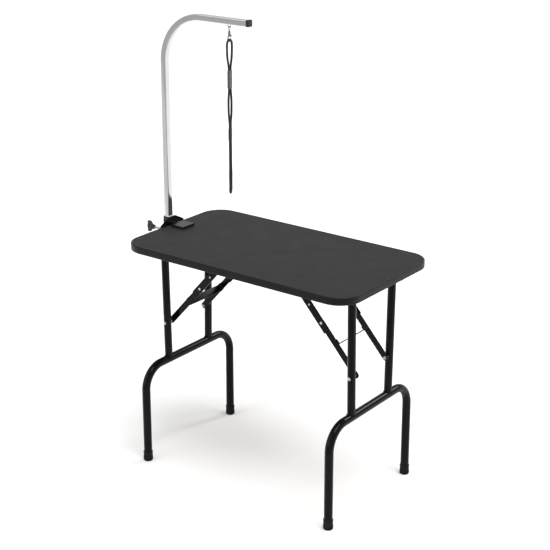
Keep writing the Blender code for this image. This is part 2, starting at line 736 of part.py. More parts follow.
def build_socket():
    outer = rounded_rectangle(SOCKET_SIDE, SOCKET_SIDE, 0.003, 3)
    bore = rounded_rectangle(SOCKET_BORE, SOCKET_BORE, 0.0015, 2)
    middle = TABLE_HEIGHT + (SOCKET_RISE - SOCKET_DEPTH) / 2
    socket = plate([outer, bore], SOCKET_RISE + SOCKET_DEPTH, (ARM_AXIS_X, CLAMP_Y, middle))
    cut(socket, rod((ARM_AXIS_X - SOCKET_SIDE, CLAMP_Y, LOCK_Z), (ARM_AXIS_X, CLAMP_Y, LOCK_Z),
                    LOCK_SCREW_RADIUS + GAP))
    finish(socket, "arm_socket", BLACK_STEEL)


def build_arm_lock():
    """Nut on the socket, screw that presses on the arm, and its wing knob."""
    wall = ARM_AXIS_X - SOCKET_SIDE / 2 - GAP
    nut = plate([circle(LOCK_NUT_RADIUS, 6), circle(LOCK_SCREW_RADIUS + GAP, 20)],
                LOCK_NUT_THICKNESS, (wall - LOCK_NUT_THICKNESS / 2, CLAMP_Y, LOCK_Z), **ALONG_X)
    finish(nut, "lock_nut", BLACK_STEEL)
    axis = axis_empty("arm_lock_axis", (wall, CLAMP_Y, LOCK_Z))
    tip = ARM_AXIS_X - ARM_SIDE / 2 - GAP
    knob_start = TABLE_X + KNOB_START_X
    knob_end = TABLE_X + KNOB_END_X
    screw = rod((knob_start + GAP, CLAMP_Y, LOCK_Z), (tip, CLAMP_Y, LOCK_Z), LOCK_SCREW_RADIUS, 20)
    finish(screw, "lock_screw", ZINC, axis)
    reach = knob_end - knob_start
    upper = [(0, KNOB_HUB_HALF), (reach * 0.45, KNOB_NECK_HALF), (reach * 0.55, KNOB_WING_HALF),
             (reach, KNOB_WING_HALF)]
    lower = [(x, -z) for x, z in reversed(upper)]
    knob = plate([upper + lower], KNOB_THICKNESS, (knob_start, CLAMP_Y, LOCK_Z), (0, -1, 0),
                 (0, 0, 1))
    bevel(knob, KNOB_THICKNESS / 6, 2, 60)
    finish(knob, "lock_knob", PLASTIC, axis)


def build_clamp_screw():
    x = TABLE_X + CLAMP_SCREW_X
    travel = axis_empty("clamp_pad_axis", (x, CLAMP_Y, BOARD_BOTTOM_Z))
    turn = axis_empty("clamp_screw_axis", (x, CLAMP_Y, BOARD_BOTTOM_Z), travel)
    pad_top = BOARD_BOTTOM_Z - GAP
    pad_low = pad_top - SCREW_PAD_THICKNESS
    rim = SCREW_PAD_THICKNESS / 5
    pad = turned([(0, pad_top), (SCREW_PAD_RADIUS - rim, pad_top), (SCREW_PAD_RADIUS, pad_top - rim),
                  (SCREW_PAD_RADIUS, pad_low + rim / 2), (SCREW_PAD_RADIUS - rim, pad_low),
                  (0, pad_low)], (x, CLAMP_Y, 0), **ALONG_Z)
    finish(pad, "clamp_screw_pad", RUBBER, travel)
    top = pad_low - GAP
    eye_top = TABLE_HEIGHT - SCREW_EYE_DROP
    eye_low = eye_top - SCREW_EYE_HEIGHT
    screw = turned([(0, top), (CLAMP_SCREW_RADIUS, top), (CLAMP_SCREW_RADIUS, eye_top),
                    (SCREW_EYE_RADIUS, eye_top), (SCREW_EYE_RADIUS, eye_low), (0, eye_low)],
                   (x, CLAMP_Y, 0), **ALONG_Z)
    bar_z = (eye_top + eye_low) / 2
    cut(screw, rod((x, CLAMP_Y - HANDLE_HALF, bar_z), (x, CLAMP_Y + HANDLE_HALF, bar_z),
                   PIN_RADIUS + GAP))
    finish(screw, "clamp_screw", ZINC, turn)
    chamfer = HANDLE_END_LENGTH / 5
    far_end = [(0, HANDLE_HALF), (HANDLE_END_RADIUS - chamfer, HANDLE_HALF),
               (HANDLE_END_RADIUS, HANDLE_HALF - 1.5 * chamfer),
               (HANDLE_END_RADIUS, HANDLE_HALF - HANDLE_END_LENGTH),
               (PIN_RADIUS, HANDLE_HALF - HANDLE_END_LENGTH - chamfer)]
    near_end = [(radius, -height) for radius, height in reversed(far_end)]
    bar = turned(far_end + near_end, (x, CLAMP_Y, bar_z), **ALONG_Y, sides=16)
    finish(bar, "clamp_handle", ZINC, turn)


# Arm and noose ------------------------------------------------------------------------
def build_arm(axis):
    low = TABLE_HEIGHT - ARM_DEPTH
    end_x = TABLE_X + ARM_END_X
    bend_z = ARM_TOP_Z - ARM_BEND_RADIUS
    path = [(ARM_AXIS_X, low)]
    path += arc((ARM_AXIS_X + ARM_BEND_RADIUS, bend_z), ARM_BEND_RADIUS, 180, 90, 14)
    path += [(end_x, ARM_TOP_Z)]
    section = outline_curve([reversed_outline(rounded_rectangle(ARM_SIDE, ARM_SIDE, 0.0028, 3))])
    guide = bpy.data.objects.new("arm_section", section)
    guide.hide_render = True
    guide.display_type = "WIRE"
    CUTTERS.objects.link(guide)
    skin = wire([(x, z, 0) for x, z in path], 0, 0, caps=False)
    skin.data.dimensions = "2D"
    skin.data.fill_mode = "NONE"
    skin.data.bevel_mode = "OBJECT"
    skin.data.bevel_object = guide
    skin.matrix_world = facing((0, CLAMP_Y, 0), (0, -1, 0))
    finish(hollow(skin, ARM_WALL), "arm_tube", CHROME, axis)
    half = ARM_SIDE / 2
    core = half - ARM_WALL - 3 * GAP
    cap = box((end_x + GAP, CLAMP_Y - half - 0.0004, ARM_TOP_Z - half - 0.0004),
              (end_x + 0.011, CLAMP_Y + half + 0.0004, ARM_TOP_Z + half + 0.0004))
    bevel(cap, 0.0022, 2, 60)
    join(cap, box((end_x - 0.012, CLAMP_Y - core, ARM_TOP_Z - core),
                  (end_x + 0.005, CLAMP_Y + core, ARM_TOP_Z + core)))
    finish(cap, "arm_end_cap", PLASTIC, axis)
    plug = box((ARM_AXIS_X - half, CLAMP_Y - half, low - 0.003),
               (ARM_AXIS_X + half, CLAMP_Y + half, low - GAP))
    join(plug, box((ARM_AXIS_X - core, CLAMP_Y - core, low - 0.002),
                   (ARM_AXIS_X + core, CLAMP_Y + core, low + 0.012)))
    finish(plug, "arm_bottom_plug", PLASTIC, axis)


def build_eye(axis):
    """Wire staple under the arm."""
    legs_z = EYE_TOP_Z - EYE_LEG
    path = [(-EYE_RADIUS, EYE_TOP_Z)]
    path += arc((0, legs_z), EYE_RADIUS, 180, 360, 10)
    path += [(EYE_RADIUS, EYE_TOP_Z)]
    staple = wire([(HOOK_AXIS_X + x, CLAMP_Y, z) for x, z in path], EYE_WIRE, 2)
    finish(to_mesh(staple), "arm_eye", CHROME, axis)


def build_snap_hook(swing):
    """Swivel ring, hook body with its barrel, and the sliding bolt that closes it."""
    swivel_axis = axis_empty("snap_swivel_axis", (HOOK_AXIS_X, CLAMP_Y, BARREL_TOP_Z), swing)
    ring_points = [(HOOK_AXIS_X, CLAMP_Y + y, z) for y, z in circle(RING_RADIUS, 16, (0, RING_Z))]
    ring = to_mesh(wire(ring_points, RING_WIRE, 2, cyclic=True))
    neck_top = RING_Z - RING_RADIUS
    join(ring, rod((HOOK_AXIS_X, CLAMP_Y, BARREL_TOP_Z + GAP), (HOOK_AXIS_X, CLAMP_Y, neck_top),
                   SNAP_NECK_RADIUS, 16))
    finish(ring, "snap_swivel", CHROME, swing)

    barrel_low = BARREL_TOP_Z - BARREL_HEIGHT
    barrel = turned([(0, BARREL_TOP_Z), (BARREL_RADIUS * 0.86, BARREL_TOP_Z),
                     (BARREL_RADIUS, BARREL_TOP_Z - 0.001), (BARREL_RADIUS, barrel_low + 0.002),
                     (BARREL_RADIUS * 0.72, barrel_low), (0, barrel_low)],
                    (HOOK_AXIS_X, CLAMP_Y, 0), **ALONG_Z, sides=16)
    bend_z = HOOK_LOW_Z + HOOK_RADIUS
    spine = [(-0.0015, barrel_low + 0.003), (-0.0040, barrel_low - 0.001)]
    spine += arc((0, bend_z), HOOK_RADIUS, 180, 360, 12)
    hook = to_mesh(wire([(HOOK_AXIS_X + x, CLAMP_Y, z) for x, z in spine], HOOK_WIRE, 3))
    join(barrel, hook)
    finish(barrel, "snap_hook", CHROME, swivel_axis)

    bolt_x = HOOK_AXIS_X + HOOK_RADIUS
    tip_z = bend_z + GAP
    head_z = barrel_low + 0.006
    thumb_z = head_z - 0.002
    bolt = rod((bolt_x, CLAMP_Y, tip_z), (bolt_x, CLAMP_Y, head_z), SNAP_BOLT_RADIUS, 12)
    join(bolt, rod((bolt_x - 0.0010, CLAMP_Y, thumb_z), (bolt_x + SNAP_THUMB_REACH, CLAMP_Y, thumb_z),
                   SNAP_THUMB_RADIUS, 12))
    finish(bolt, "snap_bolt", CHROME, swivel_axis)


def smooth(points, steps):
    """Catmull-Rom curve through the points."""
    padded = [points[0], *points, points[-1]]
    made = []
    for before, start, end, after in zip(padded, padded[1:], padded[2:], padded[3:]):
        for i in range(steps):
            t = i / steps
            made.append(tuple(
                0.5 * (2 * s + (e - b) * t + (2 * b - 5 * s + 4 * e - a) * t * t
                       + (3 * s - b - 3 * e + a) * t ** 3)
                for b, s, e, a in zip(before, start, end, after)))
    made.append(points[-1])
    return made


def thin_out(points, stride, turn):
    """Keep a point every stride of length, or sooner where the curve has turned enough."""
    kept = [points[0]]
    heading = Vector(points[1]) - Vector(points[0])
    for here, after in zip(points[1:], points[2:]):
        aim = Vector(after) - Vector(here)
        if math.dist(here, kept[-1]) >= stride or aim.angle(heading) >= turn:
            kept.append(here)
            heading = aim
    return kept + [points[-1]]


def noose_point(across, height, turn):
    """Place of a point of the strand, for its distance from the noose's middle."""
    angle = math.radians(turn)
    return (HOOK_AXIS_X - across * math.sin(angle), CLAMP_Y + across * math.cos(angle),
            BIGHT_Z + height)


def noose_route():
    """From the joint in the sleeve, down and round both bights, and back to the joint."""
    below = [row for row in STRAND if row[1] < SLEEVE_JOINT]
    above = [row for row in STRAND if row[1] > SLEEVE_JOINT]
    far_side = [(-across, height, turn) for across, height, turn in reversed(STRAND[1:-1])]
    rows = [(STRAND_Y, SLEEVE_JOINT - JOINT_GAP / 2, 0), *below, *far_side, *above,
            (STRAND_Y, SLEEVE_JOINT + JOINT_GAP / 2, 0)]
    points = smooth([noose_point(*row) for row in rows], 12)
    return thin_out(points, 0.0165, math.radians(24))


def build_noose(axis, slider_axis):
    cord = wire(noose_route(), CORD_RADIUS, 3)
    finish(to_mesh(cord), "noose_cord", NYLON, axis)

    def sleeve(name, low, high, wall_y, wall_x, turn, paint, holder):
        half_x = CORD_RADIUS + GAP
        half_y = STRAND_Y + CORD_RADIUS + GAP
        outer_x = 2 * (half_x + wall_x)
        outer = rounded_rectangle(outer_x, 2 * (half_y + wall_y), outer_x * 0.45, 4)
        slot = rounded_rectangle(2 * half_x, 2 * half_y, CORD_RADIUS, 4)
        middle = BIGHT_Z + (low + high) / 2
        angle = math.radians(turn)
        made = plate([outer, slot], high - low, (HOOK_AXIS_X, CLAMP_Y, middle),
                     up=(-math.sin(angle), math.cos(angle), 0))
        return finish(made, name, paint, holder)

    sleeve("noose_sleeve", SLEEVE_LOW, SLEEVE_TOP, SLEEVE_WALL_Y, SLEEVE_WALL_X, 0, SLEEVE, axis)
    sleeve("noose_slider", SLIDER_LOW, SLIDER_TOP, SLIDER_WALL_Y, SLIDER_WALL_X, TAIL_TURN, PLASTIC,
           slider_axis)


def build_arm_group():
    arm_axis = axis_empty("arm_axis", (ARM_AXIS_X, CLAMP_Y, TABLE_HEIGHT))
    build_arm(arm_axis)
    build_eye(arm_axis)
    swing = axis_empty("hook_swing_axis", (HOOK_AXIS_X, CLAMP_Y, EYE_LOW_Z), arm_axis)
    build_snap_hook(swing)
    noose_axis = axis_empty("noose_axis", (HOOK_AXIS_X, CLAMP_Y, BIGHT_Z), swing)
    slider_place = (HOOK_AXIS_X, CLAMP_Y, BIGHT_Z + SLIDER_TOP)
    slider_axis = axis_empty("noose_slider_axis", slider_place, noose_axis)
    build_noose(noose_axis, slider_axis)


build_top()
for side_name, side_sign in SIDES.items():
    build_leg_frame(side_name, side_sign)
build_clamp_frame()
build_socket()
build_arm_lock()
build_clamp_screw()
build_arm_group()
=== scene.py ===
"""Looks of the folding grooming table: materials, noose, fittings, floor, light and camera.

Metres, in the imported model's own frame.  The arm stands at the -X end of the top.
"""

import math

import bmesh
import bpy
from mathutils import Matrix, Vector


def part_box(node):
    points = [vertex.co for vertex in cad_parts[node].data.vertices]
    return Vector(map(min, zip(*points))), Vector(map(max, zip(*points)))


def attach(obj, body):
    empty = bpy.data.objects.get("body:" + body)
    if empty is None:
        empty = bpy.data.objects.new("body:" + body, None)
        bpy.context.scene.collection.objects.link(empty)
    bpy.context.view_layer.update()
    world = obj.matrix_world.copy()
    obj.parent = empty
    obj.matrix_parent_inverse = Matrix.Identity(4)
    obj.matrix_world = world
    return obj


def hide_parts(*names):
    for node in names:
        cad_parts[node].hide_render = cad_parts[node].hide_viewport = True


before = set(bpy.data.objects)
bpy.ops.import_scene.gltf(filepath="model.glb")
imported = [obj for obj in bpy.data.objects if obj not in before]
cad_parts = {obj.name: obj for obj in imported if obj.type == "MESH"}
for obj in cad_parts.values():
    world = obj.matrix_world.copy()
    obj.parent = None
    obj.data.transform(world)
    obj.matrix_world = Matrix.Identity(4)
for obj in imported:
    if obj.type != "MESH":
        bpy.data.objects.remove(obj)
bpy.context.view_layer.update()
scene = bpy.context.scene

# Camera and noose ---------------------------------------------------------------------
CAMERA_PLACE = (2.6063, -3.3792, 2.2696)
CAMERA_AZIMUTH = 37.03        # degrees round from standing at -Y and looking along +Y
CAMERA_ELEVATION = 17.89
CAMERA_LENS = 88.508
CAMERA_SHIFT_Y = -0.1

HOOK_X = -0.1345              # line that the hook and the noose hang on
ARM_Y = 0.008
BIGHT_Z = 1.47860             # cord's centre line at its top bight
CORD_RADIUS = 0.0038
STRAND_Y = 0.0041             # strands side by side, either side of the noose's middle
SLEEVE_JOINT = -0.1300        # cord's two ends meet inside the sleeve
JOINT_GAP = 0.0006
TAIL_TURN = 14                # degrees, where the slider slides
BRAID_PITCH = 0.0092
BRAID_RELIEF = 0.00022
SHEATH_WALL = 0.0004          # of the sleeve and the slider, at their very ends
# One side of the noose, from its top bight to its bottom one: distance from the middle,
# height from the top bight, and how far the loop's plane has turned, in degrees
STRAND = [(0.0000, 0.0000, 8), (0.0076, -0.0020, 8), (0.0132, -0.0076, 8),
          (0.0152, -0.0152, 8), (0.0156, -0.0250, 8), (0.0154, -0.0360, 8),
          (0.0146, -0.0480, 8), (0.0130, -0.0590, 7), (0.0107, -0.0680, 6),
          (0.0082, -0.0760, 4), (0.0061, -0.0840, 2), (0.0047, -0.0910, 0),
          (0.0041, -0.0980, 0), (0.0041, -0.1150, 0), (0.0041, -0.1300, 0),
          (0.0041, -0.1450, 0), (0.0041, -0.1640, 0), (0.0049, -0.1740, 0),
          (0.0066, -0.1880, 0), (0.0078, -0.2060, 0), (0.0080, -0.2220, 1),
          (0.0079, -0.2400, 3), (0.0071, -0.2550, 7), (0.0054, -0.2680, 11),
          (0.0041, -0.2800, 14), (0.0041, -0.2960, 14), (0.0041, -0.3200, 14),
          (0.0041, -0.3440, 14), (0.0041, -0.3700, 14), (0.0041, -0.3960, 14),
          (0.0041, -0.4200, 14), (0.0046, -0.4320, 16), (0.0066, -0.4450, 20),
          (0.0096, -0.4590, 25), (0.0126, -0.4720, 29), (0.0145, -0.4850, 31),
          (0.0152, -0.5022, 31), (0.0132, -0.5098, 31), (0.0076, -0.5154, 31),
          (0.0000, -0.5174, 31)]


def direction(azimuth, elevation):
    """Unit vector towards a camera or a lamp, angles in degrees."""
    a = math.radians(azimuth)
    e = math.radians(elevation)
    return Vector((math.sin(a) * math.cos(e), -math.cos(a) * math.cos(e), math.sin(e)))


def add_camera():
    data = bpy.data.cameras.new("camera")
    data.lens = CAMERA_LENS
    data.sensor_width = 36.0
    data.shift_y = CAMERA_SHIFT_Y
    made = bpy.data.objects.new("camera", data)
    scene.collection.objects.link(made)
    made.location = CAMERA_PLACE
    back = direction(CAMERA_AZIMUTH, CAMERA_ELEVATION)
    made.rotation_euler = (-back).to_track_quat("-Z", "Y").to_euler()
    scene.camera = made


# Mesh helpers -------------------------------------------------------------------------
UP = (0, 0, 1)
DOWN = (0, 0, -1)
LEFT = (-1, 0, 0)


def new_piece(name, vertices, faces, paint, sharp=35):
    """Mesh object in the frame's own place, smooth but for edges sharper than the angle."""
    data = bpy.data.meshes.new(name)
    data.from_pydata([tuple(v) for v in vertices], [], faces)
    shape = bmesh.new()
    shape.from_mesh(data)
    bmesh.ops.recalc_face_normals(shape, faces=shape.faces)
    shape.to_mesh(data)
    shape.free()
    data.materials.append(paint)
    data.shade_smooth()
    data.set_sharp_from_angle(angle=math.radians(sharp))
    made = bpy.data.objects.new(name, data)
    scene.collection.objects.link(made)
    return made


def spline_points(points, steps):
    """Catmull-Rom curve through points."""
    line = []
    for i in range(len(points) - 1):
        a = Vector(points[max(i - 1, 0)])
        b = Vector(points[i])
        c = Vector(points[i + 1])
        d = Vector(points[min(i + 2, len(points) - 1)])
        for step in range(steps):
            t = step / steps
            line.append(0.5 * (2 * b + (c - a) * t + (2 * a - 5 * b + 4 * c - d) * t * t
                               + (3 * b - a - 3 * c + d) * t ** 3))
    line.append(Vector(points[-1]))
    return line


def resample(line, gap):
    """Points a steady distance apart along a line."""
    lengths = [0.0]
    for a, b in zip(line, line[1:]):
        lengths.append(lengths[-1] + (b - a).length)
    count = max(2, round(lengths[-1] / gap) + 1)
    made = []
    at = 0
    for i in range(count):
        want = lengths[-1] * i / (count - 1)
        while at < len(line) - 2 and lengths[at + 1] < want:
            at += 1
        run = lengths[at + 1] - lengths[at]
        share = (want - lengths[at]) / run if run else 0.0
        made.append(line[at].lerp(line[at + 1], min(max(share, 0.0), 1.0)))
    return made


def line_frames(line, closed=False):
    """Two sideways directions at each point, carried along without twist."""
    last = len(line) - 1
    tangents = []
    for i in range(len(line)):
        if closed:
            run = line[(i + 1) % len(line)] - line[i - 1]
        else:
            run = line[min(i + 1, last)] - line[max(i - 1, 0)]
        tangents.append(run.normalized())
    start = Vector((0, 1, 0)) if abs(tangents[0].y) < 0.9 else Vector((1, 0, 0))
    side = (start - tangents[0] * start.dot(tangents[0])).normalized()
    frames = []
    for tangent in tangents:
        side = (side - tangent * side.dot(tangent)).normalized()
        frames.append((side, tangent.cross(side)))
    return frames


def turned_axes(axis):
    """Two directions square to an axis."""
    axis = Vector(axis).normalized()
    start = Vector((0, 0, 1)) if abs(axis.z) < 0.9 else Vector((1, 0, 0))
    side = (start - axis * start.dot(axis)).normalized()
    return axis, side, axis.cross(side)


def hexagon(angle):
    """Radius of a hexagon whose corners are at 1."""
    return math.cos(math.pi / 6) / math.cos(angle % (math.pi / 3) - math.pi / 6)


def cross(angle):
    """Radius of a cross whose arms reach to 1."""
    near = abs((angle + math.pi / 4) % (math.pi / 2) - math.pi / 4)
    return min(1 / math.cos(near), 0.30 / max(math.sin(near), 0.001))


def arc(centre, radius, start, end, steps):
    """Points on a flat arc, angles in degrees, both ends included."""
    angles = [math.radians(start + (end - start) * i / steps) for i in range(steps + 1)]
    return [(centre[0] + radius * math.cos(a), centre[1] + radius * math.sin(a)) for a in angles]


def rounded_rectangle(width, height, radius, steps):
    x = width / 2 - radius
    y = height / 2 - radius
    corners = [(x, y, 0), (-x, y, 90), (-x, -y, 180), (x, -y, 270)]
    return [point for cx, cy, start in corners
            for point in arc((cx, cy), radius, start, start + 90, steps)]


def swept_rings(outlines, section, middle):
    """Rings of a section swept round; each of its points has its own outline and height."""
    return [[Vector((middle.x + outline[i][0], middle.y + outline[i][1], z))
             for outline, (_, z) in zip(outlines, section)] for i in range(len(outlines[0]))]


class Solid:
    """Closed shells gathered into one mesh."""

    def __init__(self):
        self.vertices = []
        self.faces = []

    def rings(self, rings, looped=False):
        """Skin over rings of as many points each, capped unless the last joins the first."""
        first = len(self.vertices)
        sides = len(rings[0])
        for ring in rings:
            self.vertices.extend(ring)
        spans = len(rings) if looped else len(rings) - 1
        for row in range(spans):
            low = first + row * sides
            high = first + (row + 1) % len(rings) * sides
            for i in range(sides):
                j = (i + 1) % sides
                self.faces.append((low + i, low + j, high + j, high + i))
        if not looped:
            self.faces.append(tuple(first + i for i in range(sides)))
            end = first + (len(rings) - 1) * sides
            self.faces.append(tuple(end + i for i in range(sides)))
        return self

    def lathe(self, place, axis, profile, sides=32):
        """Turned shape; profile rows are radius, height and a shape for the radius if any."""
        axis, side, other = turned_axes(axis)
        rings = []
        for radius, height, *shape in profile:
            ring = []
            for i in range(sides):
                angle = 2 * math.pi * i / sides
                reach = radius * (shape[0](angle) if shape else 1.0)
                ring.append(Vector(place) + axis * height
                            + (side * math.cos(angle) + other * math.sin(angle)) * reach)
            rings.append(ring)
        return self.rings(rings)

    def tube(self, line, radius, sides=24, relief=None, looped=False):
        """Round tube along a line; relief(angle, distance) is added to its radius."""
        rings = []
        distance = 0.0
        previous = line[0]
        for point, (side, other) in zip(line, line_frames(line, looped)):
            distance += (point - previous).length
            previous = point
            ring = []
            for i in range(sides):
                angle = 2 * math.pi * i / sides
                reach = radius + (relief(angle, distance) if relief else 0.0)
                ring.append(point + (side * math.cos(angle) + other * math.sin(angle)) * reach)
            rings.append(ring)
        return self.rings(rings, looped)

    def piece(self, name, slot, body, replaced=(), sharp=35, paint=None):
        """Make the piece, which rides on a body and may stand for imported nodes."""
        made = new_piece(name, self.vertices, self.faces, PAINTS[paint or slot], sharp)
        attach(made, body)
        if replaced:
            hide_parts(*replaced)
        return made


def middle_of(node):
    low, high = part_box(node)
    return (low + high) / 2


def reach_of(node):
    """How far a node's near and far sides are from the middle of the table, along Y."""
    low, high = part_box(node)
    return min(abs(low.y), abs(high.y)), max(abs(low.y), abs(high.y))


# Materials ----------------------------------------------------------------------------
class Paint:
    """A node material whose textures are placed in metres on the piece itself."""

    def __init__(self, name, roughness, metallic=0.0, specular=0.5):
        self.material = bpy.data.materials.new(name)
        self.material.use_nodes = True
        self.tree = self.material.node_tree
        self.shader = self.tree.nodes["Principled BSDF"]
        self.shader.inputs["Roughness"].default_value = roughness
        self.shader.inputs["Metallic"].default_value = metallic
        self.shader.inputs["Specular IOR Level"].default_value = specular
        self.coordinates = self.tree.nodes.new("ShaderNodeTexCoord")
        self.height = None

    def link(self, source, target):
        self.tree.links.new(source, target)

    def place(self, stretch=(1, 1, 1)):
        mapping = self.tree.nodes.new("ShaderNodeMapping")
        mapping.inputs["Scale"].default_value = stretch
        self.link(self.coordinates.outputs["Object"], mapping.inputs["Vector"])
        return mapping.outputs["Vector"]

    def noise(self, scale, detail, stretch=(1, 1, 1), distortion=0.0):
        made = self.tree.nodes.new("ShaderNodeTexNoise")
        made.inputs["Scale"].default_value = scale
        made.inputs["Detail"].default_value = detail
        made.inputs["Distortion"].default_value = distortion
        self.link(self.place(stretch), made.inputs["Vector"])
        return made.outputs["Fac"]

    def cells(self, scale):
        made = self.tree.nodes.new("ShaderNodeTexVoronoi")
        made.feature = "SMOOTH_F1"
        made.inputs["Scale"].default_value = scale
        self.link(self.place(), made.inputs["Vector"])
        return made.outputs["Distance"]

    def fit(self, value, low, high, to_low, to_high):
        made = self.tree.nodes.new("ShaderNodeMapRange")
        made.inputs["From Min"].default_value = low
        made.inputs["From Max"].default_value = high
        made.inputs["To Min"].default_value = to_low
        made.inputs["To Max"].default_value = to_high
        self.link(value, made.inputs["Value"])
        return made.outputs["Result"]

    def colours(self, value, *stops):
        ramp = self.tree.nodes.new("ShaderNodeValToRGB")
        elements = ramp.color_ramp.elements
        while len(elements) < len(stops):
            elements.new(0.5)
        for element, (position, colour) in zip(elements, stops):
            element.position = position
            element.color = (*colour, 1.0)
        self.link(value, ramp.inputs["Fac"])
        return ramp.outputs["Color"]

    def blend(self, share, first, second):
        made = self.tree.nodes.new("ShaderNodeMix")
        made.data_type = "RGBA"
        self.link(share, made.inputs[0])
        self.link(first, made.inputs[6])
        self.link(second, made.inputs[7])
        return made.outputs[2]

    def colour(self, value):
        self.link(value, self.shader.inputs["Base Color"])

    def roughness(self, value, low, high):
        """Roughness from low to high over the middle of a noise's range."""
        self.link(self.fit(value, 0.25, 0.75, low, high), self.shader.inputs["Roughness"])

    def bump(self, value, height, strength):
        """Relief of the given height; later reliefs lie on the earlier ones."""
        made = self.tree.nodes.new("ShaderNodeBump")
        made.inputs["Strength"].default_value = strength
        made.inputs["Distance"].default_value = height
        self.link(value, made.inputs["Height"])
        if self.height:
            self.link(self.height, made.inputs["Normal"])
        self.height = made.outputs["Normal"]
        self.link(self.height, self.shader.inputs["Normal"])


def grey(value):
    return (value, value, value)


def make_powder_coat():
    paint = Paint("powder_coat", 0.16, specular=0.12)
    paint.colour(paint.colours(paint.noise(9, 4), (0.30, grey(0.0016)), (0.72, grey(0.0030))))
    paint.roughness(paint.noise(26, 4), 0.11, 0.19)
    paint.bump(paint.noise(620, 2), 0.00005, 0.35)
    return paint.material


def make_gloss_coat():
    """Smoother black coat of the clamp."""
    paint = Paint("gloss_coat", 0.22, specular=0.34)
    paint.colour(paint.colours(paint.noise(14, 4), (0.30, grey(0.0040)), (0.72, grey(0.0064))))
    paint.roughness(paint.noise(40, 4), 0.17, 0.26)
    paint.bump(paint.noise(620, 2), 0.00006, 0.40)
    return paint.material


def make_rubber():
    paint = Paint("rubber", 0.75, specular=0.16)
    paint.colour(paint.colours(paint.noise(70, 5), (0.28, grey(0.0035)), (0.75, grey(0.0080))))
    paint.roughness(paint.noise(140, 3), 0.62, 0.82)
    paint.bump(paint.noise(1500, 3), 0.00015, 0.5)
    return paint.material


def make_mat():
    """Fine pebble grain in a cloudy tone, with painted shade in the hollows between pebbles."""
    paint = Paint("mat", 0.62, specular=0.24)
    cloud = paint.noise(7, 5)
    pebble = paint.cells(430)
    # Painted shade: where the pebble cells meet, low in the bump, the grey is darker
    paint.colour(paint.blend(paint.fit(pebble, 0.0, 0.75, 0.0, 1.0),
                             paint.colours(cloud, (0.30, (0.0176, 0.0178, 0.0180)),
                                           (0.72, (0.0192, 0.0194, 0.0196))),
                             paint.colours(cloud, (0.30, (0.0112, 0.0114, 0.0116)),
                                           (0.72, (0.0124, 0.0126, 0.0128)))))
    paint.roughness(paint.noise(16, 5), 0.57, 0.65)
    paint.bump(pebble, -0.00035, 0.6)
    paint.bump(paint.noise(2600, 2), 0.00006, 0.5)
    return paint.material


def make_trim():
    paint = Paint("trim", 0.40, specular=0.19)
    paint.colour(paint.colours(paint.noise(18, 4), (0.30, grey(0.0036)), (0.72, grey(0.0054))))
    paint.roughness(paint.noise(60, 4), 0.34, 0.48)
    paint.bump(paint.noise(1400, 2), 0.00006, 0.5)
    return paint.material


def make_board():
    """Plain plywood, its grain along the top."""
    paint = Paint("board", 0.62, specular=0.30)
    grain = paint.noise(34, 6, stretch=(0.10, 2.2, 1.0), distortion=0.6)
    pores = paint.noise(420, 3, stretch=(0.05, 1.0, 1.0))
    wood = paint.colours(grain, (0.30, (0.235, 0.150, 0.082)), (0.50, (0.330, 0.225, 0.130)),
                         (0.72, (0.410, 0.300, 0.185)))
    dark = paint.colours(grain, (0.30, (0.130, 0.078, 0.040)), (0.72, (0.215, 0.140, 0.078)))
    paint.colour(paint.blend(paint.fit(pores, 0.55, 0.70, 0.0, 0.75), wood, dark))
    paint.roughness(grain, 0.70, 0.55)
    paint.bump(pores, -0.00012, 0.5)
    return paint.material


def make_zinc():
    paint = Paint("zinc", 0.30, metallic=1.0)
    paint.colour(paint.colours(paint.noise(260, 4), (0.28, (0.40, 0.41, 0.42)),
                               (0.72, (0.58, 0.59, 0.60))))
    paint.roughness(paint.noise(420, 3), 0.20, 0.36)
    paint.bump(paint.noise(1800, 2), 0.00004, 0.4)
    return paint.material


def make_chrome():
    paint = Paint("chrome", 0.07, metallic=1.0)
    paint.colour(paint.colours(paint.noise(12, 3), (0.30, (0.595, 0.600, 0.605)),
                               (0.72, (0.645, 0.650, 0.655))))
    paint.roughness(paint.noise(30, 5), 0.05, 0.11)
    paint.bump(paint.noise(22, 2, stretch=(1, 1, 0.4)), 0.00010, 0.25)
    return paint.material


def make_plastic():
    paint = Paint("plastic", 0.40, specular=0.40)
    paint.colour(paint.colours(paint.noise(40, 4), (0.30, grey(0.0050)), (0.72, grey(0.0080))))
    paint.roughness(paint.noise(120, 4), 0.32, 0.46)
    paint.bump(paint.cells(1300), -0.00006, 0.5)
    return paint.material


def make_nylon():
    """Fine filaments lying along the braid."""
    paint = Paint("nylon", 0.60, specular=0.40)
    paint.shader.inputs["Sheen Weight"].default_value = 0.15
    paint.shader.inputs["Sheen Roughness"].default_value = 0.4
    paint.colour(paint.colours(paint.noise(900, 3), (0.30, grey(0.0045)), (0.72, grey(0.0120))))
    paint.roughness(paint.noise(500, 3), 0.48, 0.70)
    paint.bump(paint.noise(3200, 2, stretch=(1, 1, 0.35)), 0.00010, 0.6)
    return paint.material


def make_dull():
    """Dull nickel plate of the small fittings."""
    paint = Paint("dull_nickel", 0.30, metallic=1.0)
    paint.colour(paint.colours(paint.noise(300, 3), (0.30, (0.16, 0.16, 0.165)),
                               (0.72, (0.24, 0.24, 0.245))))
    paint.roughness(paint.noise(600, 3), 0.22, 0.38)
    paint.bump(paint.noise(1500, 2), 0.00003, 0.4)
    return paint.material


def make_liner():
    """Pale nylon."""
    paint = Paint("liner", 0.5, specular=0.4)
    paint.colour(paint.colours(paint.noise(200, 3), (0.30, grey(0.62)), (0.72, grey(0.74))))
    paint.bump(paint.noise(900, 2), 0.00005, 0.4)
    return paint.material


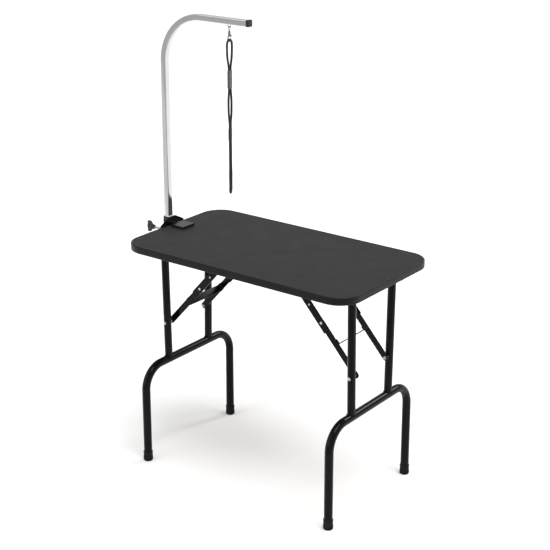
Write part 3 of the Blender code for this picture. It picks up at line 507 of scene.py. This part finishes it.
def make_sleeve():
    paint = Paint("sleeve", 0.28, specular=0.90)
    paint.colour(paint.colours(paint.noise(90, 4), (0.30, grey(0.034)), (0.72, grey(0.052))))
    paint.roughness(paint.noise(200, 4), 0.22, 0.36)
    paint.bump(paint.noise(1100, 3), 0.00008, 0.5)
    return paint.material


PAINTS = {"board": make_board(), "mat": make_mat(), "trim": make_trim(),
          "black_steel": make_powder_coat(), "rubber": make_rubber(), "zinc": make_zinc(),
          "chrome": make_chrome(), "plastic": make_plastic(), "nylon": make_nylon(),
          "sleeve": make_sleeve(), "dull": make_dull(), "liner": make_liner(),
          "gloss": make_gloss_coat()}
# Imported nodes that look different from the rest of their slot
OTHER_PAINTS = {"clamp_frame": "gloss", "arm_socket": "gloss", "left_tie_strip": "trim",
                "right_tie_strip": "trim"}


def paint_frame():
    """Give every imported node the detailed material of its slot."""
    for node_name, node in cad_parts.items():
        for slot in node.material_slots:
            name = slot.material.name.split(".")[0]
            slot.material = PAINTS[OTHER_PAINTS.get(node_name, name)]


# Noose --------------------------------------------------------------------------------
def noose_point(row, side):
    """Place of a row of STRAND on one side of the loop, 1 or -1."""
    across, height, turn = row
    angle = math.radians(turn)
    return Vector((HOOK_X - side * across * math.sin(angle),
                   ARM_Y + side * across * math.cos(angle), BIGHT_Z + height))


def noose_line():
    """Whole loop, from one end in the sleeve round to the other."""
    below = [row for row in STRAND if row[1] < SLEEVE_JOINT]
    above = [row for row in STRAND if row[1] > SLEEVE_JOINT]
    route = [noose_point((STRAND_Y, SLEEVE_JOINT - JOINT_GAP / 2, 0), 1)]
    route += [noose_point(row, 1) for row in below]
    route += [noose_point(row, -1) for row in reversed(STRAND[1:-1])]
    route += [noose_point(row, 1) for row in above]
    route.append(noose_point((STRAND_Y, SLEEVE_JOINT + JOINT_GAP / 2, 0), 1))
    return route


def braid(angle, distance):
    """Diamond relief of a round braid."""
    lay = 2 * math.pi * distance / BRAID_PITCH
    return BRAID_RELIEF * (math.cos(4 * angle + lay) * math.cos(4 * angle - lay) - 0.35)


def squared(value, power):
    """Share of -1 to 1 pushed outwards, which makes a round outline squarer."""
    return math.copysign(abs(value) ** power, value)


def cord_ring(place, turn, wall_x, wall_y, waist, sides=48):
    """Ring round the two strands, drawn in between them by waist."""
    half_x = CORD_RADIUS + wall_x
    half_y = STRAND_Y + CORD_RADIUS + wall_y
    angle = math.radians(turn)
    along = Vector((-math.sin(angle), math.cos(angle), 0))
    through = Vector((math.cos(angle), math.sin(angle), 0))
    ring = []
    for i in range(sides):
        a = 2 * math.pi * i / sides
        c = squared(math.cos(a), 0.62)
        s = squared(math.sin(a), 0.62)
        pinch = 1 - waist * math.exp(-(c * half_y / 0.0030) ** 2)
        ring.append(place + along * c * half_y + through * s * half_x * pinch)
    return ring


def add_sheath(node, name, slot, body, turn, rows, end, walls, waist, relief):
    """Sheath round the two strands, its ends drawn in; relief(share, taper) adds to its walls."""
    low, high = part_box(node)
    rings = []
    for row in range(rows + 1):
        share = row / rows
        edge = min(share, 1 - share) * (high.z - low.z)
        taper = 1 - math.exp(-edge / end)
        place = Vector((HOOK_X, ARM_Y, low.z + share * (high.z - low.z)))
        wall_x, wall_y = [SHEATH_WALL + wall * taper + relief(share, taper) for wall in walls]
        rings.append(cord_ring(place, turn, wall_x, wall_y, waist))
    return Solid().rings(rings).piece(name, slot, body, [node], 50)


def sleeve_ripple(share, taper):
    """Slight unevenness of a shrunk sleeve."""
    return 0.00010 * math.sin(share * 41) * taper


def slider_groove(share, _):
    """Five grooves, which leave four grip rings between them."""
    return -0.00045 * max(0.0, math.cos(share * 2 * math.pi * 6)) * (0.12 < share < 0.88)


def add_noose():
    line = resample(spline_points(noose_line(), 12), 0.0011)
    sleeve = add_sheath("noose_sleeve", "noose_sleeve_shrunk", "sleeve", "noose", 0, 30,
                        0.0012, (0.0008, 0.0011), 0.16, sleeve_ripple)
    slider = add_sheath("noose_slider", "noose_slider_moulded", "plastic", "noose_slider",
                        TAIL_TURN, 48, 0.0010, (0.0006, 0.0008), 0.05, slider_groove)
    solid = Solid().tube(line, CORD_RADIUS, 32, braid)
    cord = solid.piece("noose_braid", "nylon", "noose", ["noose_cord"], 60)


# Top ----------------------------------------------------------------------------------
LIP_WIDTH = 0.0082
LIP_THICKNESS = 0.0016
TRIM_WALL = 0.0025
EDGE_RADIUS = 0.0034
CORNER_RADIUS = 0.078


def add_trim():
    """Moulded edge with rounded arrises, swept round the top."""
    low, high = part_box("edge_trim")
    middle = (low + high) / 2
    size = high - low
    r = EDGE_RADIUS
    lip = LIP_WIDTH
    section = [(lip, high.z - LIP_THICKNESS), (lip, high.z - 0.0007),
               (lip - 0.0006, high.z - 0.0001), (lip - 0.0014, high.z)]
    section += [(r - x, high.z - r + z) for x, z in arc((0, 0), r, 90, 0, 8)]
    section += [(r - x, low.z + r + z) for x, z in arc((0, 0), r, 0, -90, 8)]
    section += [(lip - 0.0014, low.z), (lip - 0.0006, low.z + 0.0001), (lip, low.z + 0.0007),
                (lip, low.z + LIP_THICKNESS), (TRIM_WALL, low.z + LIP_THICKNESS),
                (TRIM_WALL, high.z - LIP_THICKNESS)]
    outlines = [rounded_rectangle(size.x - 2 * inset, size.y - 2 * inset,
                                  CORNER_RADIUS - inset, 24) for inset, _ in section]
    rings = swept_rings(outlines, section, middle)
    Solid().rings(rings, looped=True).piece("edge_trim_moulded", "trim", "table", ["edge_trim"], 40)


# Leg frames ---------------------------------------------------------------------------
SIDES = ("left", "right")
ENDS = {"front": -1, "rear": 1}
TUBE_RADIUS = 0.0143
BEND_RADIUS = 0.078
POST_RADIUS = 0.0135
BEAD_RADIUS = 0.0019
BEAD_SPREAD = 1.05            # a bead runs just outside the post
BEAD_LIFT = 0.0003
SCALE_GAP = 0.0034            # between the scales of a weld bead
SCALE_HEIGHT = 0.00045
BOLT_HEAD = 0.0040            # with its washer
BOLT_BORE = 0.0028
RIVET_RADIUS = 0.0050
RIVET_SHANK = 0.0024
RIVET_GAP = 0.0002
UPPER_RIVET = 0.0705          # above the middle rivet, along the link
UPPER_RIVET_RADIUS = RIVET_RADIUS * 0.72
# Two screws in each bracket: its kind, how far they are from its middle along X, from its
# near side along Y, and under its top
BRACKET_SCREWS = [("pivot", 0.012, 0.019, 0.0025), ("brace", 0.009, 0.011, 0.0030)]


def add_u_tube(label):
    """Bent leg tube with smooth bends."""
    low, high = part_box(label + "_u_tube")
    x = (low.x + high.x) / 2
    spread = (high.y - low.y) / 2 - TUBE_RADIUS
    top = high.z - TUBE_RADIUS
    bend_y = spread - BEND_RADIUS
    path = [(-spread, low.z), (-spread, (low.z + top) / 2)]
    path += arc((-bend_y, top - BEND_RADIUS), BEND_RADIUS, 180, 90, 30)
    path += [(0.0, top)]
    path += arc((bend_y, top - BEND_RADIUS), BEND_RADIUS, 90, 0, 30)
    path += [(spread, (low.z + top) / 2), (spread, low.z)]
    line = [Vector((x, y, z)) for y, z in path]
    solid = Solid().tube(line, TUBE_RADIUS, 48)
    solid.piece(label + "_leg_tube", "black_steel", label + "_leg_frame", [label + "_u_tube"], 50)


def bead_line(x, y, z, rise, steps=72):
    """Joint of a post and the level tube that it stands on, or hangs from where rise is -1."""
    line = []
    for i in range(steps):
        angle = 2 * math.pi * i / steps
        across = POST_RADIUS * math.cos(angle)
        height = math.sqrt(TUBE_RADIUS ** 2 - across ** 2)
        line.append(Vector((x + across * BEAD_SPREAD,
                            y + POST_RADIUS * math.sin(angle) * BEAD_SPREAD,
                            z + rise * (height + BEAD_LIFT))))
    return line


def ripples(_, distance):
    """Overlapping scales of a weld bead."""
    return SCALE_HEIGHT * abs(math.sin(math.pi * distance / SCALE_GAP))


def add_welds(label):
    bottom = middle_of(label + "_u_tube")
    crossbar_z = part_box(label + "_u_tube")[1].z - TUBE_RADIUS
    pivot = middle_of(label + "_pivot_tube")
    for corner, end in ENDS.items():
        near, far = reach_of(f"{label}_{corner}_post")
        foot = bead_line(bottom.x, end * (near + POST_RADIUS), crossbar_z, 1)
        head = bead_line(pivot.x, end * (far - POST_RADIUS), pivot.z, -1)
        solid = Solid()
        for line in (foot, head):
            solid.tube(line, BEAD_RADIUS, 12, ripples, True)
        solid.piece(f"{label}_{corner}_welds", "black_steel", label + "_leg_frame", sharp=60)


def add_foot(label, corner):
    """Rubber ferrule with grip rings near the floor."""
    node = f"{label}_{corner}_foot"
    low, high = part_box(node)
    place = middle_of(node)
    place.z = 0.0
    r = (high.x - low.x) / 2
    top = high.z
    profile = [(TUBE_RADIUS - 0.0001, top), (r - 0.0012, top), (r - 0.0004, top - 0.0006),
               (r, top - 0.0018), (r - 0.0001, top - 0.0040), (r - 0.0007, top - 0.0052),
               (r - 0.0008, 0.0150)]
    for groove in range(3):
        z = 0.0140 - groove * 0.0034
        profile += [(r - 0.0004, z), (r, z - 0.0006), (r, z - 0.0018), (r - 0.0004, z - 0.0024),
                    (r - 0.0010, z - 0.0029)]
    profile += [(r - 0.0004, 0.0036), (r - 0.0006, 0.0022), (r - 0.0014, 0.0009),
                (r - 0.0026, 0.0002), (r - 0.0036, 0.0), (0.0030, 0.0)]
    solid = Solid().lathe(place, UP, profile, 56)
    solid.piece(node + "_ribbed", "rubber", label + "_leg_frame", [node], 40)


def dome(radius, height, base, steps=5):
    """Profile rows of a low domed head, from its middle out and down to its seat."""
    angles = [math.radians(90 * i / steps) for i in range(steps + 1)]
    rows = [(radius * math.sin(angle) + 0.00005, base + height * (0.25 + 0.75 * math.cos(angle)))
            for angle in angles]
    return rows + [(radius, base)]


def add_brace_bolt(label, corner, end):
    """Domed bolt, its washers, the spacer inside the post, and a locking nut."""
    node = f"{label}_{corner}_brace_bolt"
    middle = middle_of(node)
    tip, top = reach_of(node)
    link_near, link_far = reach_of(f"{label}_{corner}_lower_link")
    place = Vector((middle.x, 0, middle.z))
    axis = (0, end, 0)
    solid = Solid()

    seat = top - BOLT_HEAD
    under = seat + 0.0010     # of the head, on its washer
    solid.lathe(place, axis, dome(0.0048, 0.0028, under) + [(0.0030, under)], 40)
    solid.lathe(place, axis, [(0.0030, under), (0.0058, under), (0.0060, seat + 0.0008),
                              (0.0060, seat), (0.0030, seat)], 40)

    spacer = seat - 2 * POST_RADIUS - 0.0006
    solid.lathe(place, axis, [(BOLT_BORE, spacer), (0.0056, spacer), (0.0060, spacer - 0.0004),
                              (0.0060, link_far + 0.0009), (0.0056, link_far + 0.0003),
                              (BOLT_BORE, link_far + 0.0003)], 32)
    solid.lathe(place, axis, [(BOLT_BORE, seat), (BOLT_BORE, tip)], 24)

    washer = link_near - 0.0003
    nut = washer - 0.0008
    solid.lathe(place, axis, [(BOLT_BORE, washer), (0.0054, washer), (0.0054, nut),
                              (BOLT_BORE, nut)], 40)
    solid.lathe(place, axis, [(BOLT_BORE, nut), (0.0046, nut, hexagon),
                              (0.0049, nut - 0.0004, hexagon), (0.0049, nut - 0.0026, hexagon),
                              (0.0043, nut - 0.0032), (0.0037, nut - 0.0038),
                              (BOLT_BORE, nut - 0.0038)], 48)
    solid.piece(f"{label}_{corner}_brace_fixing", "zinc", label + "_leg_frame", [node], 32)


def add_rivets(label, corner, end):
    """Middle rivet with both its heads, and the rivet higher on the upper link, flush inside."""
    node = f"{label}_{corner}_middle_rivet"
    middle = middle_of(node)
    bolt = middle_of(f"{label}_{corner}_brace_bolt")
    up = Vector((middle.x - bolt.x, 0, middle.z - bolt.z)).normalized()
    upper_near, upper_far = reach_of(f"{label}_{corner}_upper_link")
    outer = upper_far + RIVET_GAP
    inner = reach_of(f"{label}_{corner}_lower_link")[0] - RIVET_GAP
    place = Vector((middle.x, 0, middle.z))
    outward = (0, end, 0)
    inward = (0, -end, 0)
    solid = Solid()
    solid.lathe(place, outward, dome(RIVET_RADIUS, 0.0020, outer) + [(RIVET_SHANK, outer)], 32)
    solid.lathe(place, inward, dome(RIVET_RADIUS, 0.0015, -inner) + [(RIVET_SHANK, -inner)], 32)
    solid.lathe(place, outward, [(RIVET_SHANK, outer), (RIVET_SHANK, inner)], 24)
    place += up * UPPER_RIVET
    head = dome(UPPER_RIVET_RADIUS, 0.0014, outer) + [(RIVET_SHANK, outer)]
    solid.lathe(place, outward, head, 32)
    solid.lathe(place, outward, [(RIVET_SHANK, outer), (RIVET_SHANK, upper_near)], 24)
    solid.piece(f"{label}_{corner}_rivets", "zinc", label + "_upper_brace", [node], 40)


def screw_head(solid, place):
    """Pan head with a cross recess, under the board and facing down."""
    solid.lathe(place, DOWN, [(0.0030, 0.0), (0.0042, 0.0), (0.0043, 0.0008), (0.0040, 0.0017),
                              (0.0034, 0.0023), (0.0028, 0.0025), (0.0024, 0.0025, cross),
                              (0.0022, 0.0011, cross)], 72)


def add_bracket_screws(label, corner, end):
    solid = Solid()
    for kind, offset, from_side, drop in BRACKET_SCREWS:
        node = f"{label}_{corner}_{kind}_bracket"
        low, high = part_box(node)
        y = end * (reach_of(node)[0] + from_side)
        for x in (-offset, offset):
            screw_head(solid, Vector(((low.x + high.x) / 2 + x, y, high.z - drop)))
    solid.piece(f"{label}_{corner}_bracket_screws", "zinc", "table", sharp=30)


# Clamp --------------------------------------------------------------------------------
# Sections of the wing knob, from the end on the screw: share of its length, of its width
# across the wings, and of its thickness
KNOB_SECTIONS = [(0.0, 0.30, 0.80), (0.02, 0.345, 0.92), (0.08, 0.375, 0.96),
                 (0.20, 0.40, 0.97), (0.34, 0.46, 0.97), (0.44, 0.56, 0.97),
                 (0.52, 0.74, 0.96), (0.58, 0.90, 0.95), (0.64, 0.97, 0.94),
                 (0.74, 1.0, 0.94), (0.86, 1.0, 0.93), (0.94, 0.985, 0.90),
                 (0.985, 0.955, 0.82), (1.0, 0.91, 0.70)]
SCREW_EYE_HEIGHT = 0.0138     # top of the clamp screw's thick end, over the bar's underside


def thread(pitch, depth):
    """Relief of a screw thread cut into a round bar."""
    return lambda angle, distance: -depth * (
        0.5 + 0.5 * math.cos(2 * math.pi * distance / pitch - angle)) ** 1.5


def straight(start, end, gap):
    return resample([Vector(start), Vector(end)], gap)


def add_lock_screw():
    low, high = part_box("lock_screw")
    place = middle_of("lock_screw")
    line = straight((low.x, place.y, place.z), (high.x, place.y, place.z), 0.00018)
    solid = Solid().tube(line, (high.z - low.z) / 2, 32, thread(0.00125, 0.00065))
    solid.piece("lock_screw_threaded", "zinc", "arm_lock", ["lock_screw"], 60)


def knob_ring(x, place, half_y, half_z, reach, thick, sides=72):
    """Outline of the wing knob; its two wings have a hollow each, and ridged ends."""
    wings = reach > 0.85
    power = 0.50 if reach > 0.6 else 0.85
    ring = []
    for i in range(sides):
        a = 2 * math.pi * i / sides
        c = squared(math.cos(a), power)
        s = squared(math.sin(a), power)
        out = abs(c)
        grip = 0.06 * (0.5 + 0.5 * math.cos(out * 34)) if wings and out > 0.45 else 0.0
        hollow = 0.20 * math.exp(-((out - 0.55) / 0.22) ** 2) if wings else 0.0
        ring.append(Vector((x, place.y + s * half_y * (thick - grip - hollow),
                            place.z + c * half_z * reach)))
    return ring


def add_lock_knob():
    low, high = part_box("lock_knob")
    place = middle_of("lock_knob")
    half_y = (high.y - low.y) / 2
    half_z = (high.z - low.z) / 2
    rings = [knob_ring(high.x - along * (high.x - low.x), place, half_y, half_z, reach, thick)
             for along, reach, thick in KNOB_SECTIONS]
    Solid().rings(rings).piece("lock_knob_moulded", "plastic", "arm_lock", ["lock_knob"], 40)


def add_lock_nut():
    """Chamfered nut on the socket."""
    low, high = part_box("lock_nut")
    place = middle_of("lock_nut")
    radius = max(high.y - low.y, high.z - low.z) / 2
    height = high.x - low.x
    solid = Solid()
    solid.lathe((high.x, place.y, place.z), LEFT,
                [(0.0045, 0.0), (radius * 0.98, 0.0, hexagon), (radius, 0.0004, hexagon),
                 (radius, height * 0.80, hexagon), (radius * 0.88, height), (0.0045, height)], 48)
    solid.piece("lock_nut_chamfered", "black_steel", "table", ["lock_nut"], 30)


def add_socket_fittings():
    """Pale liner between the socket and the arm, and the bolt through the back plate."""
    low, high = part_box("arm_socket")
    middle = (low + high) / 2
    outer = high.x - low.x
    section = [(0.0, 0.0), (0.0, 0.0011), (0.0005, 0.0016), (0.0019, 0.0016), (0.0022, 0.0012),
               (0.0022, 0.0)]
    section = [(inset, high.z + z) for inset, z in section]
    outlines = [rounded_rectangle(outer - 2 * inset, outer - 2 * inset, 0.0030 - inset * 0.6, 6)
                for inset, _ in section]
    rings = swept_rings(outlines, section, middle)
    Solid().rings(rings, looped=True).piece("socket_liner", "sleeve", "table", paint="liner")

    place = Vector((low.x, middle.y, high.z - 0.022))
    solid = Solid()
    solid.lathe(place, LEFT, [(0.0030, 0.0), (0.0078, 0.0), (0.0080, 0.0004), (0.0080, 0.0012),
                              (0.0030, 0.0012)], 40)
    solid.lathe(place, LEFT, [(0.0030, 0.0012), (0.0065, 0.0012, hexagon),
                              (0.0067, 0.0017, hexagon), (0.0067, 0.0056, hexagon),
                              (0.0059, 0.0066), (0.0020, 0.0066)], 48)
    solid.piece("socket_bolt", "black_steel", "table", sharp=30)


def add_clamp_screw():
    """Threaded clamp screw with the thick end that its bar passes through."""
    low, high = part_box("clamp_screw")
    place = middle_of("clamp_screw")
    eye_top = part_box("clamp_handle")[0].z + SCREW_EYE_HEIGHT
    solid = Solid()
    line = straight((place.x, place.y, eye_top - 0.001), (place.x, place.y, high.z), 0.00025)
    solid.tube(line, 0.0050, 32, thread(0.0020, 0.0009))
    solid.lathe((place.x, place.y, 0), UP,
                [(0.0066, low.z), (0.0074, low.z + 0.0004), (0.0080, low.z + 0.0016),
                 (0.0080, eye_top - 0.0016), (0.0074, eye_top - 0.0004), (0.0056, eye_top)], 40)
    solid.piece("clamp_screw_threaded", "zinc", "clamp_spindle", ["clamp_screw"], 60)


# Arm ----------------------------------------------------------------------------------
ARM_CORNER = 0.0030
ARM_BEND = 0.165
EYE_WIRE = 0.0014             # radius, as are the next two
RING_WIRE = 0.0013
HOOK_WIRE = 0.0018
HOOK_RADIUS = 0.0065
BARREL_LENGTH = 0.0170


def add_arm():
    """Bent square tube with even bends and rounded corners."""
    low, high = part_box("arm_tube")
    half = (high.y - low.y) / 2
    axis_x = low.x + half
    top = high.z - half
    path = [(axis_x, low.z), (axis_x, (low.z + top - ARM_BEND) / 2)]
    path += arc((axis_x + ARM_BEND, top - ARM_BEND), ARM_BEND, 180, 90, 72)
    path += [(high.x, top)]
    section = rounded_rectangle(2 * half, 2 * half, ARM_CORNER, 8)
    side = Vector((0, 1, 0))
    rings = []
    for i, (x, z) in enumerate(path):
        before = path[max(i - 1, 0)]
        after = path[min(i + 1, len(path) - 1)]
        run = Vector((after[0] - before[0], 0, after[1] - before[1])).normalized()
        if i == 0 or i == len(path) - 1:
            run = Vector((0, 0, 1)) if i == 0 else Vector((1, 0, 0))
        out = side.cross(run)
        place = Vector((x, (low.y + high.y) / 2, z))
        rings.append([place + side * a + out * b for a, b in section])
    Solid().rings(rings).piece("arm_chrome", "chrome", "arm", ["arm_tube"], 50)


def add_eye():
    """Staple under the arm, which the snap's ring hangs in."""
    low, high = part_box("arm_eye")
    radius = (high.x - low.x) / 2 - EYE_WIRE
    top = high.z
    legs = low.z + EYE_WIRE + radius
    path = [(-radius, top), (-radius, (top + legs) / 2)]
    path += arc((0, legs), radius, 180, 360, 24)
    path += [(radius, (top + legs) / 2), (radius, top)]
    line = [Vector((HOOK_X + x, ARM_Y, z)) for x, z in path]
    Solid().tube(line, EYE_WIRE, 20).piece("arm_staple", "chrome", "arm", ["arm_eye"], 50, "dull")


def add_snap_ring():
    """Ring with the pin that goes down into the hook's barrel."""
    low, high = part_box("snap_swivel")
    radius = (high.y - low.y) / 2 - RING_WIRE
    z = high.z - RING_WIRE - radius
    sides = 40
    ring = [Vector((HOOK_X, ARM_Y + across, height))
            for across, height in arc((0, z), radius, 0, 360 - 360 / sides, sides - 1)]
    solid = Solid().tube(ring, RING_WIRE, 20, looped=True)
    solid.lathe((HOOK_X, ARM_Y, 0), UP,
                [(0.0019, low.z), (0.0022, low.z + 0.0004), (0.0022, low.z + 0.0030),
                 (0.0019, low.z + 0.0040), (0.0017, z - radius + 0.0004)], 24)
    solid.piece("snap_ring", "chrome", "snap_swivel", ["snap_swivel"], 50, "dull")


def add_snap_hook():
    """Hook with its barrel; its wire is thicker near the barrel."""
    low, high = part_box("snap_hook")
    top = high.z
    base = top - BARREL_LENGTH
    bend_z = low.z + HOOK_WIRE + HOOK_RADIUS
    solid = Solid()
    solid.lathe((HOOK_X, ARM_Y, 0), UP,
                [(0.0032, top), (0.0040, top - 0.0002), (0.0045, top - 0.0008),
                 (0.0046, top - 0.0016), (0.0041, top - 0.0026), (0.0041, top - 0.0032),
                 (0.0046, top - 0.0042), (0.0046, base + 0.0030), (0.0043, base + 0.0012),
                 (0.0034, base)], 32)
    spine = [(-0.0015, base + 0.003), (-0.0030, base + 0.001), (-0.0046, base - 0.0012)]
    spine += arc((0, bend_z), HOOK_RADIUS, 180, 360, 30)
    line = resample(spline_points([(HOOK_X + x, ARM_Y, z) for x, z in spine], 4), 0.0006)
    solid.tube(line, HOOK_WIRE, 20, lambda _, distance: 0.0009 * max(0.0, 1 - distance / 0.014))
    solid.piece("snap_body", "chrome", "snap_hook", ["snap_hook"], 50, "dull")


def add_snap_bolt():
    """Bolt that slides along the hook's mouth, and the stud that moves it."""
    low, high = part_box("snap_bolt")
    x = HOOK_X + HOOK_RADIUS
    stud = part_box("snap_hook")[1].z - BARREL_LENGTH + 0.004
    solid = Solid()
    solid.lathe((x, ARM_Y, 0), UP,
                [(0.0010, low.z), (0.0014, low.z + 0.0004), (0.0014, high.z - 0.0004),
                 (0.0010, high.z)], 24)
    solid.lathe((x - 0.0010, ARM_Y, stud), (1, 0, 0),
                [(0.0012, 0.0), (0.0014, 0.0026), (0.0018, 0.0034), (0.0018, 0.0050),
                 (0.0012, 0.0055)], 24)
    solid.piece("snap_thumb_bolt", "chrome", "snap_bolt", ["snap_bolt"], 50, "dull")


# Floor and light ----------------------------------------------------------------------
FLOOR_RADIUS = 40.0
FLOOR_SIDES = 72
# The floor is painted darker a way out on one side, out of the camera's view. This painted
# shade stands in for dimmer light there, so that the arm has something darker to reflect:
# direction, distances where the change starts and ends, and greys along it
PAINTED_SHADE_TOWARDS = (0.35, -0.94)
PAINTED_SHADE_REACH = (0.8, 3.2)
PAINTED_SHADE_GREYS = [(0.0, 0.95), (0.20, 0.61), (0.65, 0.62), (1.0, 0.42)]
SKY = [(0.05, 1.0), (0.30, 0.66), (0.80, 0.50)]   # heights, level to overhead, and their glow
SKY_STRENGTH = 1.05
# Name, azimuth, elevation, strength and spread, angles in degrees
SUNS = [("overhead", 75, 68, 1.9, 40), ("fill", -20, 26, 0.8, 50), ("behind", 162, 37, 0.6, 12)]


def add_floor():
    paint = Paint("floor", 0.9, specular=0.0)
    split = paint.tree.nodes.new("ShaderNodeSeparateXYZ")
    paint.link(paint.coordinates.outputs["Object"], split.inputs[0])
    total = paint.tree.nodes.new("ShaderNodeMath")
    total.operation = "ADD"
    for term, (axis, part) in enumerate(zip("XY", PAINTED_SHADE_TOWARDS)):
        times = paint.tree.nodes.new("ShaderNodeMath")
        times.operation = "MULTIPLY"
        times.inputs[1].default_value = part
        paint.link(split.outputs[axis], times.inputs[0])
        paint.link(times.outputs[0], total.inputs[term])
    # Painted shade: the floor's grey falls away towards one side, for the arm to reflect
    share = paint.fit(total.outputs[0], *PAINTED_SHADE_REACH, 0.0, 1.0)
    paint.colour(paint.colours(share, *((place, grey(value)) for place, value in PAINTED_SHADE_GREYS)))
    outline = arc((0, 0), FLOOR_RADIUS, 0, 360 - 360 / FLOOR_SIDES, FLOOR_SIDES - 1)
    floor = new_piece("floor", [(x, y, 0.0) for x, y in outline], [tuple(range(FLOOR_SIDES))],
                      paint.material)


def add_world():
    """Bright all round near the horizon, softer overhead."""
    world = bpy.data.worlds.new("studio")
    world.use_nodes = True
    scene.world = world
    tree = world.node_tree
    background = tree.nodes["Background"]
    coordinates = tree.nodes.new("ShaderNodeTexCoord")
    split = tree.nodes.new("ShaderNodeSeparateXYZ")
    ramp = tree.nodes.new("ShaderNodeValToRGB")
    tree.links.new(coordinates.outputs["Generated"], split.inputs[0])
    tree.links.new(split.outputs["Z"], ramp.inputs["Fac"])
    tree.links.new(ramp.outputs["Color"], background.inputs["Color"])
    elements = ramp.color_ramp.elements
    elements.new(0.5)
    for element, (height, glow) in zip(elements, SKY):
        element.position = height
        element.color = (glow, glow, glow, 1.0)
    background.inputs["Strength"].default_value = SKY_STRENGTH


def add_sun(name, azimuth, elevation, strength, spread):
    """Broad soft light from far away; azimuth as for the camera."""
    data = bpy.data.lights.new(name, "SUN")
    data.energy = strength
    data.angle = math.radians(spread)
    made = bpy.data.objects.new(name, data)
    scene.collection.objects.link(made)
    made.rotation_euler = direction(azimuth, elevation).to_track_quat("Z", "Y").to_euler()


add_camera()
paint_frame()
add_noose()
add_trim()
for side_name in SIDES:
    add_u_tube(side_name)
    add_welds(side_name)
    for corner_name, end_sign in ENDS.items():
        add_foot(side_name, corner_name)
        add_brace_bolt(side_name, corner_name, end_sign)
        add_rivets(side_name, corner_name, end_sign)
        add_bracket_screws(side_name, corner_name, end_sign)
add_lock_screw()
add_lock_knob()
add_lock_nut()
add_socket_fittings()
add_clamp_screw()
add_arm()
add_eye()
add_snap_ring()
add_snap_hook()
add_snap_bolt()
add_floor()
add_world()
for sun in SUNS:
    add_sun(*sun)
scene.view_settings.view_transform = "Standard"
